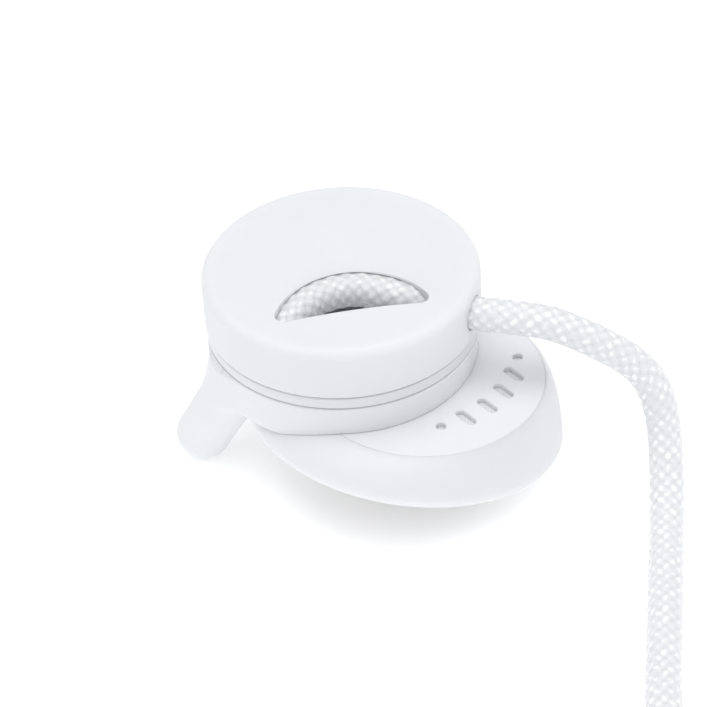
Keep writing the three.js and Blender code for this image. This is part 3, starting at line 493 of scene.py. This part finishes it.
collar_profile = [(0, 23.06), (2.2, 23.06)] + rounded(2.3, 23.21, 0.15, -90, 0)
collar_profile += rounded(2.3, 23.91, 0.15, 0, 90) + [(0, 24.06)]
pin_radius = 1.75
sleeve_profile = [(0, 24.09), (pin_radius, 24.09), (pin_radius, 31.9)]
sleeve_profile += rounded(pin_radius - 0.08, 32.21, 0.08, 0, 90) + [(0, 32.29)]
insulator_profile = [(0, 32.32), (1.73, 32.32), (1.73, 33.12), (0, 33.12)]
tip_profile = [(0, 33.15)] + rounded(pin_radius - 0.08, 33.23, 0.08, -90, 0)
tip_profile += [(pin_radius, 34.5), (1.42, 34.95), (1.18, 35.35)]
tip_profile += rounded(1.45, 35.6, 0.28, -150, -210, 4) + [(1.52, 36.15)]
tip_profile += rounded(1.2, 36.6, 0.44, 30, 60, 4) + [(1.05, 37.3), (0.7, 37.85)]
tip_profile += rounded(0.35, 37.8, 0.35, 50, 90, 4) + [(0, 38.15)]
plug_parts = [
    ("plug_relief", relief_profile, silicone_white, "silicone_white"),
    ("plug_barrel", barrel_profile, soft_touch_white, "soft_touch_white"),
    ("plug_collar", collar_profile, nickel, "nickel"),
    ("plug_sleeve_contact", sleeve_profile, nickel, "nickel"),
    ("plug_insulator", insulator_profile, dark_plastic, "dark_plastic"),
    ("plug_tip_contact", tip_profile, nickel, "nickel"),
]
for name, profile, finish, slot in plug_parts:
    part = turned(profile, plug_tail, (-1, 0, 0), 72, "refined_" + name)
    part.data.materials.append(finish)
    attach(part, "housing")
    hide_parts(name)

# ------------------------------------------------------------------ cap
# The round cap, moulded in white with a soft-touch coat: a flat roof with a crescent window that
# shows the cord, a small radius round the top, and a hole in its side where the cord leaves. The
# roof's underside is grooved for the cord, so that it lies right up against the window's edge.
cap_radius, cap_top, cap_foot = 8.25, 13.5, 10.2
cap_edge, roof_thick, wall_thick = 0.6, 0.6, 0.8
window_turn = math.radians(8)
window_spin = np.array([[math.cos(window_turn), math.sin(window_turn)],
                        [-math.sin(window_turn), math.cos(window_turn)]])
exit_at = np.array([7.78, -3.17, 11.85])
exit_way = np.array([0.955, -0.297, 0])


def window_outline():
    """The crescent: a long arc at the back, a shallow bow in front and a small circle at each tip,
    all tangent, as points in order round it and the direction straight out at each."""
    back_radius, back_y, tip_radius, front_y, bow = 4.83, -5.56, 0.6, -4.53, 0.23
    tip_y = front_y + tip_radius
    lift = tip_y - back_y
    tip_x = math.sqrt((back_radius - tip_radius) ** 2 - lift**2)
    open_angle = math.atan2(lift, tip_x)

    def arc(x, y, r, start, end, count):
        turn = np.linspace(start, end, count, endpoint=False)
        return np.stack([x + r * np.cos(turn), y + r * np.sin(turn)], 1)

    t = np.linspace(0, 1, 80, endpoint=False)[:, None]
    left, peak, right = np.array([(-tip_x, front_y), (0, front_y + 2 * bow), (tip_x, front_y)])
    line = np.concatenate([
        arc(0, back_y, back_radius, open_angle, math.pi - open_angle, 90),
        arc(-tip_x, tip_y, tip_radius, math.pi - open_angle, 1.5 * math.pi, 34),
        (1 - t) ** 2 * left + 2 * t * (1 - t) * peak + t**2 * right,
        arc(tip_x, tip_y, tip_radius, -0.5 * math.pi, open_angle, 34),
    ])
    run = np.roll(line, -1, 0) - np.roll(line, 1, 0)
    out = np.stack([run[:, 1], -run[:, 0]], 1) / np.linalg.norm(run, axis=1)[:, None]
    return line @ window_spin, out @ window_spin


def cap_rows():
    """Rings from the window's lip over the roof, round the top radius, down the wall, in under it
    and back to the window. A roof ring mixes the window's outline with the cap's circle, where
    both are met by the same ray from the window's middle."""
    line, out = window_outline()
    core = np.array([[0, -2.9]]) @ window_spin
    ray = line - core
    ray /= np.linalg.norm(ray, axis=1)[:, None]

    def circle(radius):
        half = (ray * core).sum(1)
        reach = -half + np.sqrt(half**2 - (core**2).sum() + radius**2)
        return core + ray * reach[:, None]

    bearing = np.arctan2(*circle(cap_radius - cap_edge).T[::-1])
    rim = np.stack([np.cos(bearing), np.sin(bearing)], 1)
    rows = []

    def add(flat, height):
        rows.append(np.column_stack([flat, np.full(len(flat), height)]))

    lip = 0.05
    for t in np.radians(np.linspace(0, 90, 7)):
        add(line + out * lip * (1 - math.cos(t)), cap_top - lip * (1 - math.sin(t)))
    edge = rim * (cap_radius - cap_edge)
    for share in (0.02, 0.06, 0.14, 0.3, 0.5, 0.7, 0.85, 0.94, 0.98):
        add((line + out * lip) * (1 - share) + edge * share, cap_top)
    for r, z in rounded(cap_radius - cap_edge, cap_top - cap_edge, cap_edge, 90, 0, 12):
        add(rim * r, z)
    for z in np.linspace(cap_top - cap_edge, cap_foot + 0.12, 12)[1:-1]:
        add(rim * cap_radius, z)
    for r, z in rounded(cap_radius - 0.12, cap_foot + 0.12, 0.12, 0, -90, 5):
        add(rim * r, z)
    bore = cap_radius - wall_thick
    for z in np.linspace(cap_foot, cap_top - roof_thick - 0.2, 8):
        add(rim * bore, z)
    for r, z in rounded(bore - 0.2, cap_top - roof_thick - 0.2, 0.2, 30, 90, 3):
        add(rim * r, z)
    for share in (0.1, 0.3, 0.6, 0.85):
        add(line * share + rim * (bore - 0.2) * (1 - share), cap_top - roof_thick)
    for z in (cap_top - roof_thick, cap_top - roof_thick + 0.15, cap_top - lip - 0.12):
        add(line, z)
    return np.array(rows)


def cut_by(thing, *tools, work="DIFFERENCE"):
    """Takes the tools' shapes from a piece, or joins them to it, for good, and throws the tools
    away. With no tools it only makes the piece's own modifiers final."""
    for tool in tools:
        step = thing.modifiers.new("cut", "BOOLEAN")
        step.operation = work
        step.solver = "EXACT"
        step.object = tool
    seen = bpy.context.evaluated_depsgraph_get()
    seen.update()
    fresh = bpy.data.meshes.new_from_object(thing.evaluated_get(seen))
    thing.modifiers.clear()
    old, thing.data = thing.data, fresh
    bpy.data.meshes.remove(old)
    for tool in tools:
        bpy.data.meshes.remove(tool.data)


cap = skin("cap_moulding", cap_rows(), loop=True, crease=30)
groove_radius = cord_radius + 0.05
drill_profile = [(0, -1.6), (groove_radius, -1.6), (groove_radius, 0.1)]
drill_profile += rounded(groove_radius + 0.2, 0.1, 0.2, 180, 120, 3) + [(1.6, 0.9), (0, 0.9)]
exit_drill = turned(drill_profile, exit_at, exit_way, 64, "exit_drill")
groove_line = smooth_line(inside_cap, [(9999, 0.25)])
groove_run = np.gradient(groove_line, axis=0)
groove_run /= np.linalg.norm(groove_run, axis=1)[:, None]
groove_side = np.cross([0, 0, 1], groove_run)
groove_side /= np.linalg.norm(groove_side, axis=1)[:, None]
turn = np.linspace(0, 2 * math.pi, 64, endpoint=False)[None, :, None]
groove = skin("cord_groove", groove_line[:, None] + groove_radius * (
    groove_side[:, None] * np.cos(turn) + np.cross(groove_run, groove_side)[:, None] * np.sin(turn)))
cut_by(cap, exit_drill, groove)
cap.data.set_sharp_from_angle(angle=math.radians(30))
cap.data.materials.append(soft_touch_white)
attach(cap, "housing")
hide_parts("cap_shell")

pale_plastic = moulded_finish("pale_plastic", (0.80, 0.812, 0.835), 0.5, grain=0.00016)

# ------------------------------------------------------------------ trim ring
# A satin ring pressed on the hub between the cap and the collar, a touch inside both, so that a
# fine dark line shows above and below it.
ring_profile = rounded(8.07, 9.47, 0.1, -90, 0) + rounded(8.07, 10.01, 0.1, 0, 90)
trim = turned(ring_profile + [(6.55, 10.11), (6.55, 9.37)], facets=240, name="satin_ring")
trim.data.materials.append(moulded_finish(
    "trim_satin", (0.76, 0.77, 0.795), 0.36, grain=0.0003, depth=0.000004, coat=0.1))
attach(trim, "housing")
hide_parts("trim_ring")

# ------------------------------------------------------------------ speaker pod
# A round shell, moulded in the same coated white, whose axis leans to the right and back. Its
# shoulder falls from the level seam round the deck to its widest ring, and it curls in below.
lean = np.array([0.178, 0.189, 1.0])
lean /= np.linalg.norm(lean)
pod_across = np.array([1.0, 0, 0]) - lean * lean[0]
pod_across /= np.linalg.norm(pod_across)
pod_along = np.cross(lean, pod_across)
pod_middle = np.array([3.44, -2.05, 3.65])
pod_radius, mouth_radius, curl_centre, curl_depth = 9.65, 6.6, 5.86, 2.0
seam_radius, deck_level, deck_x, deck_y = 7.03, 7.32, 4.75, -3.3


def pod_rows(inset, facets=192, over=30, under=16, lip=0.0):
    """The shell's surface. Above, it mixes the level seam ring with the leaning widest ring: a
    share that grows as a sine outwards and as a cosine downwards, three tenths of it straight.
    Below, it is a quarter oval from the widest ring in to the mouth. inset moves it inwards."""
    turn = np.linspace(0, 2 * math.pi, facets, endpoint=False)[None, :, None]
    round_seam = np.cos(turn) * [1, 0, 0] + np.sin(turn) * [0, 1, 0]
    seam = np.array([deck_x, deck_y, deck_level - inset]) + seam_radius * round_seam

    def leaning(radius, height):
        ring = np.cos(turn) * pod_across + np.sin(turn) * pod_along
        return pod_middle + radius * ring + height * lean

    share = (np.linspace(lip, 1, over + 1))[:, None, None]
    out = np.sin(share * math.pi / 2) * 0.7 + share * 0.3
    down = (1 - np.cos(share * math.pi / 2)) * 0.7 + share * 0.3
    wide = leaning(pod_radius - inset, 0)
    mix = np.concatenate([out, out, down], 2)
    upper = seam + (wide - seam) * mix
    spread = pod_radius - inset - curl_centre
    furthest = math.acos((mouth_radius - curl_centre) / spread)
    t = (furthest * np.linspace(0, 1, under + 1)[1:])[:, None, None]
    lower = leaning(curl_centre + spread * np.cos(t), -(curl_depth - inset) * np.sin(t))
    return np.concatenate([upper, lower])


outer = pod_rows(0, lip=0.012)
seam_edge = np.array([deck_x, deck_y, deck_level]) + seam_radius * np.array(
    [(math.cos(a), math.sin(a), 0) for a in np.linspace(0, 2 * math.pi, 192, endpoint=False)])
seam_corner = seam_edge * 0.6 + outer[0] * 0.4 - [0, 0, 0.006]
seam_lip = np.stack([seam_edge - [0, 0, 0.1], seam_edge - [0, 0, 0.03], seam_corner])
pod_wall = 0.9
pod = skin("pod_moulding", np.concatenate([seam_lip, outer, pod_rows(pod_wall)[::-1]]), loop=True, crease=40)
pod.data.materials.append(soft_touch_white)
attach(pod, "housing")
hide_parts("pod_shell")

# ------------------------------------------------------------------ deck
# The flat plate seated in the top of the pod, a shade cooler, with an arc of vents in it: four
# short slots between two dots, all with a softened lip. Woven screen shows in them.
vent_wide, vent_long, vent_turn, dot_wide = 0.58, 1.5, math.radians(-53), 0.6
vent_arc_x, vent_arc_y, vent_arc_radius, vent_first, vent_step = 3.34, -1.05, 6.97, -73.5, 13.4


def vent_tool(name, long, wide, place, turn):
    """A stadium outline, or a circle, carried up through the plate and flared at the top by a
    quarter round."""
    side = np.linspace(-math.pi / 2, math.pi / 2, 20)
    half = (long - wide) / 2
    arc = np.stack([np.cos(side), np.sin(side)], 1)
    flare = 0.06
    quarter = np.linspace(0, math.pi / 2, 6)
    lip = [(-flare * math.cos(t), flare * (1 - math.cos(t))) for t in quarter]
    levels = [(-1.5, 0)] + lip + [(0.3, flare)]
    rows = []
    for height, grow in levels:
        r = wide / 2 + grow
        line = np.concatenate([arc * r + [half, 0], -arc * r - [half, 0]])
        spin = np.array([[math.cos(turn), math.sin(turn)], [-math.sin(turn), math.cos(turn)]])
        rows.append(np.column_stack([line @ spin + place, np.full(len(line), deck_level + height)]))
    return skin(name, np.array(rows))


deck = turned(
    [(0, 7.02), (7.022, 7.02)] + rounded(7.002, 7.3, 0.02, 0, 90) + [(0, 7.32)],
    (deck_x, deck_y, 0), facets=192, name="vented_deck")
vents = []
for i in range(6):
    bearing = math.radians(vent_first + vent_step * i)
    place = (vent_arc_x + vent_arc_radius * math.cos(bearing),
             vent_arc_y + vent_arc_radius * math.sin(bearing))
    # a dot is a slot that is hardly longer than it is wide
    long, wide = (vent_long, vent_wide) if 0 < i < 5 else (dot_wide, dot_wide - 0.0001)
    vents.append(vent_tool(f"vent_drill_{i}", long, wide, place, vent_turn))
wire_hole = [(0, 5.5), (0.75, 5.5), (0.75, 8.5), (0, 8.5)]
wire_drill = turned(wire_hole, (2.6, -0.85, 0), facets=32, name="wire_drill")
cut_by(deck, *vents, wire_drill)
deck.data.set_sharp_from_angle(angle=math.radians(30))
deck.data.materials.append(pale_plastic)
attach(deck, "housing")
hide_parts("deck_plate")

# ------------------------------------------------------------------ silicone collar with its stud
# One moulding in soft white silicone: a collar stretched over the hub, and a stubby horn that
# hangs from its left side and ends in a ball, which holds the bud in the ear and props it here.
collar_top, collar_foot, collar_bore = 9.28, 6.47, 6.55
collar_foot_radius, collar_flare = 7.95, 0.21
stud_way = np.array([(-5.85, -2.5, 8.18), (-6.6, -2.3, 6.68), (-7.56, -1.7, 4.73), (-8.95, -0.63, 1.70)])
stud_line = smooth_line(stud_way, [(999, 0.11)])
stud_size = 1.75 - 0.07 * np.clip(np.linspace(0, 1.3, len(stud_line)), 0, 1)


def softened(one, two, size):
    """The distance to what two shapes share, with their edge rounded by a radius."""
    corner = np.hypot(np.maximum(one + size, 0), np.maximum(two + size, 0))
    return np.minimum(np.maximum(one, two), -size) + corner


def stabiliser_depth(points):
    """How far points are outside the moulding. The collar is a ring whose outer wall slopes; the
    stud is a row of balls; a smooth minimum runs them together with a broad fillet, and the
    collar's top and bore are then cut level and round."""
    r = np.hypot(points[:, 0], points[:, 1])
    wall = r - collar_foot_radius - collar_flare * (points[:, 2] - collar_foot) / (collar_top - collar_foot)
    band = softened(wall, collar_foot - points[:, 2], 0.2)
    away = np.linalg.norm(points[:, None] - stud_line[None], axis=2) - stud_size
    stud = away.min(1)
    blend = 1.5
    share = np.clip(0.5 + 0.5 * (stud - band) / blend, 0, 1)
    both = stud * (1 - share) + band * share - blend * share * (1 - share)
    return softened(softened(both, points[:, 2] - collar_top, 0.12), collar_bore - r, 0.03)


band_profile = [(collar_bore, collar_foot), (collar_foot_radius, collar_foot),
                (collar_foot_radius + collar_flare, collar_top), (collar_bore, collar_top)]
stabiliser = turned(band_profile, facets=128, name="ear_collar_and_stud")
turn = np.linspace(0, 2 * math.pi, 32, endpoint=False)
stud_run = np.gradient(stud_line, axis=0)
stud_run /= np.linalg.norm(stud_run, axis=1)[:, None]
stud_side = np.cross(stud_run, [0, 1, 0])
stud_side /= np.linalg.norm(stud_side, axis=1)[:, None]
stud_front = np.cross(stud_side, stud_run)
ball = np.linspace(0, 0.95, 8)[1:] * math.pi / 2
line = np.concatenate([stud_line, stud_line[-1] + stud_run[-1] * stud_size[-1] * np.sin(ball)[:, None]])
size = np.concatenate([stud_size, stud_size[-1] * np.cos(ball)])
fold = np.append(np.arange(len(stud_line)), np.full(len(ball), len(stud_line) - 1))
stud_blank = skin("stud_blank", line[:, None] + size[:, None, None] * (
    stud_side[fold][:, None] * np.cos(turn)[:, None] + stud_front[fold][:, None] * np.sin(turn)[:, None]))
cut_by(stabiliser, stud_blank, work="UNION")
remesh = stabiliser.modifiers.new("even", "REMESH")
remesh.mode = "VOXEL"
remesh.voxel_size = 0.000115
cut_by(stabiliser)
points = np.zeros(len(stabiliser.data.vertices) * 3)
stabiliser.data.vertices.foreach_get("co", points)
points = (points.reshape(-1, 3) - datum) * 1000
# six Newton steps along the slope of that distance take each point onto the true surface
for _ in range(6):
    depth = stabiliser_depth(points)
    slope = np.stack([
        (stabiliser_depth(points + step) - stabiliser_depth(points - step)) / 0.002
        for step in np.eye(3) * 0.001
    ], 1)
    points -= slope * (depth / np.maximum((slope**2).sum(1), 0.3))[:, None]
stabiliser.data.vertices.foreach_set("co", in_frame(points).ravel())
stabiliser.data.update()
cut_by(stabiliser, skin("pod_block", pod_rows(-0.05, 128, 20, 10)))
stabiliser.data.shade_smooth()
stabiliser.data.set_sharp_from_angle(angle=math.radians(50))
stabiliser.data.materials.append(silicone_white)
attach(stabiliser, "housing")
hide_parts("ear_stabiliser")

# ------------------------------------------------------------------ speaker grille
# A pressed steel dish with thirty-seven round holes, seated in the pod's mouth, which faces down.
grille_rim, grille_reach = -1.85, 6.55


def dish(side):
    """The grille's profile: a shallow parabola, in the pod's own heights."""
    r = np.linspace(0, grille_reach, 14)
    return [(a, grille_rim - 0.6 * (1 - (a / grille_reach) ** 2) + side * 0.35) for a in r]


def in_pod(x, y, height):
    """A point of the pod's leaning frame."""
    return pod_middle + x * pod_across + y * pod_along + height * lean


grille = turned(dish(0) + dish(1)[::-1], pod_middle, lean, 96, "pressed_grille")
drills = []
hole_pitch, hole_radius = 1.55, 0.42
hole_profile = [(0, -4.0), (hole_radius, -4.0), (hole_radius, 0.2), (0, 0.2)]
for row in range(-3, 4):
    for column in range(-3, 4):
        x, y = (column + row / 2) * hole_pitch, row * hole_pitch * math.sin(math.pi / 3)
        if math.hypot(x, y) <= 3.2 * hole_pitch:
            drills.append(turned(hole_profile, in_pod(x, y, 0), lean, 20, "hole_drill"))
cut_by(grille, *drills)
grille.data.set_sharp_from_angle(angle=math.radians(35))
steel = metal_finish("steel", (0.62, 0.62, 0.63), 0.34, 3600.0, 0.0000015, stretch=(1, 5, 1))
grille.data.materials.append(steel)
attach(grille, "housing")
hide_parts("speaker_grille")

# ------------------------------------------------------------------ pieces inside
# What shows through the window, the vents and the grille, and the driver behind them, keep their
# shapes and get their finishes.


def grainy_finish(name, dark, light, rough, scale, depth, metal=0.0, cells=False):
    """Foam, paper, film, lacquer or solder: cells or a rough noise set its tone and its relief."""
    made, tree, shader = new_finish(name)
    place = node(tree, "TexCoord", out=3)
    if cells:
        spots = node(tree, "TexVoronoi", {"Vector": place, "Scale": scale})
    else:
        spots = node(tree, "TexNoise", {
            "Vector": place, "Scale": scale, "Detail": 5.0, "Distortion": 0.4})
    tone = node(tree, "MapRange", {"Value": spots, "From Min": 0.25, "From Max": 0.75})
    tree.links.new(two_tone(tree, tone, dark, light), shader.inputs["Base Color"])
    gloss = node(tree, "MapRange", {
        "Value": spots, "To Min": max(0.05, rough - 0.1), "To Max": min(1.0, rough + 0.1)})
    tree.links.new(gloss, shader.inputs["Roughness"])
    shader.inputs["Metallic"].default_value = metal
    raised(tree, shader, spots, depth, 0.7)
    return made


def wound_finish():
    """Copper wire wound on the coil: turns stacked along the pod's axis, as a sine wave of the height along
    it. The colour darkens with the wave towards the grooves between turns: painted shade."""
    made, tree, shader = new_finish("copper")
    place = node(tree, "TexCoord", out=3)
    height = node(tree, "VectorMath", {0: place, 1: tuple(lean)}, out=1, operation="DOT_PRODUCT")
    turns = sum_of(tree, "SINE", sum_of(tree, "MULTIPLY", height, 2 * math.pi / 0.00008))
    # Painted shade: the copper is darker where the wave dips, in the grooves between turns.
    tone = node(tree, "MapRange", {"Value": turns, "From Min": -1.0})
    wire = two_tone(tree, tone, (0.42, 0.17, 0.07), (0.78, 0.37, 0.18))
    tree.links.new(wire, shader.inputs["Base Color"])
    haze = node(tree, "TexNoise", {"Vector": place, "Scale": 1500.0, "Detail": 3.0})
    gloss = node(tree, "MapRange", {"Value": haze, "To Min": 0.22, "To Max": 0.42})
    tree.links.new(gloss, shader.inputs["Roughness"])
    shader.inputs["Metallic"].default_value = 1.0
    raised(tree, shader, turns, 0.00002, 0.8)
    return made


inside_finishes = {
    # The cap's floor is whiter than the cap's own plastic (0.9 against 0.82). This is painted light: it
    # stands in for the light that the real cap's translucent walls let into its hollow.
    "cap_floor": moulded_finish("cap_floor_painted_light", (0.9, 0.905, 0.915), 0.5, grain=0.00016),
    "neck_hub": pale_plastic,
    "driver_frame": moulded_finish("driver_plastic", (0.72, 0.73, 0.75), 0.5, grain=0.0002),
    "vent_screen": woven_finish(
        "woven_mesh", (0.82, 0.825, 0.835), (0.95, 0.955, 0.96), 0.00016, 0.00005, 0.5),
    "grille_cloth": woven_finish(
        "acoustic_cloth", (0.012, 0.012, 0.014), (0.06, 0.062, 0.068), 0.0002, 0.00006, 0.8),
    "front_gasket": grainy_finish(
        "foam", (0.02, 0.02, 0.022), (0.085, 0.087, 0.092), 0.92, 3800.0, 0.00012, cells=True),
    "cord_crimp": steel,
    "yoke_cup": steel,
    "pole_plate": steel,
    "damping_paper": grainy_finish(
        "paper", (0.52, 0.47, 0.38), (0.68, 0.63, 0.53), 0.9, 2600.0, 0.00003),
    "magnet": nickel,
    "voice_coil": wound_finish(),
    "diaphragm_dome": grainy_finish(
        "film", (0.60, 0.54, 0.42), (0.74, 0.69, 0.58), 0.28, 900.0, 0.000015),
    "diaphragm_surround": grainy_finish(
        "film_roll", (0.58, 0.53, 0.42), (0.72, 0.67, 0.57), 0.3, 1400.0, 0.00002),
    "terminal_board": woven_finish(
        "circuit_board", (0.01, 0.10, 0.04), (0.03, 0.19, 0.08), 0.00022, 0.00001, 0.45),
    "solder_pad_signal": grainy_finish(
        "solder", (0.50, 0.50, 0.51), (0.78, 0.78, 0.79), 0.26, 2400.0, 0.00002, metal=1.0),
    "lead_wire_signal": grainy_finish(
        "enamel_red", (0.30, 0.022, 0.016), (0.46, 0.05, 0.035), 0.35, 5200.0, 0.000004),
    "lead_wire_ground": grainy_finish(
        "enamel_green", (0.015, 0.16, 0.06), (0.04, 0.26, 0.11), 0.35, 5200.0, 0.000004),
}
inside_finishes["solder_pad_ground"] = inside_finishes["solder_pad_signal"]
for name, finish in inside_finishes.items():
    for slot_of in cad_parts[name].material_slots:
        slot_of.material = finish

# ------------------------------------------------------------------ table and light
# A white table without a horizon, under a wide, even studio light: a bright surround, a large
# soft panel overhead in front, and a weaker one from the left.
table_half = 1.5
table_shape = bpy.data.meshes.new("table")
table_corners = [(x * table_half, y * table_half, 0) for x, y in ((-1, -1), (1, -1), (1, 1), (-1, 1))]
table_shape.from_pydata(table_corners, [], [(0, 1, 2, 3)])
table = bpy.data.objects.new("table", table_shape)
bpy.context.scene.collection.objects.link(table)
table_white, table_tree, table_shader = new_finish("table_white")
table_shader.inputs["Base Color"].default_value = (0.93, 0.93, 0.93, 1)
table_shader.inputs["Roughness"].default_value = 0.9
table_shader.inputs["Specular IOR Level"].default_value = 0.0
table_shader.inputs["Emission Color"].default_value = (1, 1, 1, 1)
table_shader.inputs["Emission Strength"].default_value = 0.3
table.data.materials.append(table_white)

world = bpy.data.worlds.new("studio")
world.use_nodes = True
world.node_tree.nodes["Background"].inputs["Color"].default_value = (1, 1, 1, 1)
world.node_tree.nodes["Background"].inputs["Strength"].default_value = 0.6
bpy.context.scene.world = world


def soft_panel(name, place, aim, wide, power):
    """A square panel of light at a place, in metres, turned to face a point."""
    light = bpy.data.lights.new(name, "AREA")
    light.shape = "SQUARE"
    light.size = wide
    light.energy = power
    lamp = bpy.data.objects.new(name, light)
    lamp.location = place
    lamp.rotation_mode = "QUATERNION"
    lamp.rotation_quaternion = (Vector(aim) - Vector(place)).to_track_quat("-Z", "Y")
    bpy.context.scene.collection.objects.link(lamp)


soft_panel("overhead_panel", (0.04, -0.06, 0.55), (0.003, -0.002, 0), 0.5, 1.75)
soft_panel("left_panel", (-0.45, -0.25, 0.3), (0, 0, 0.005), 0.3, 0.1)
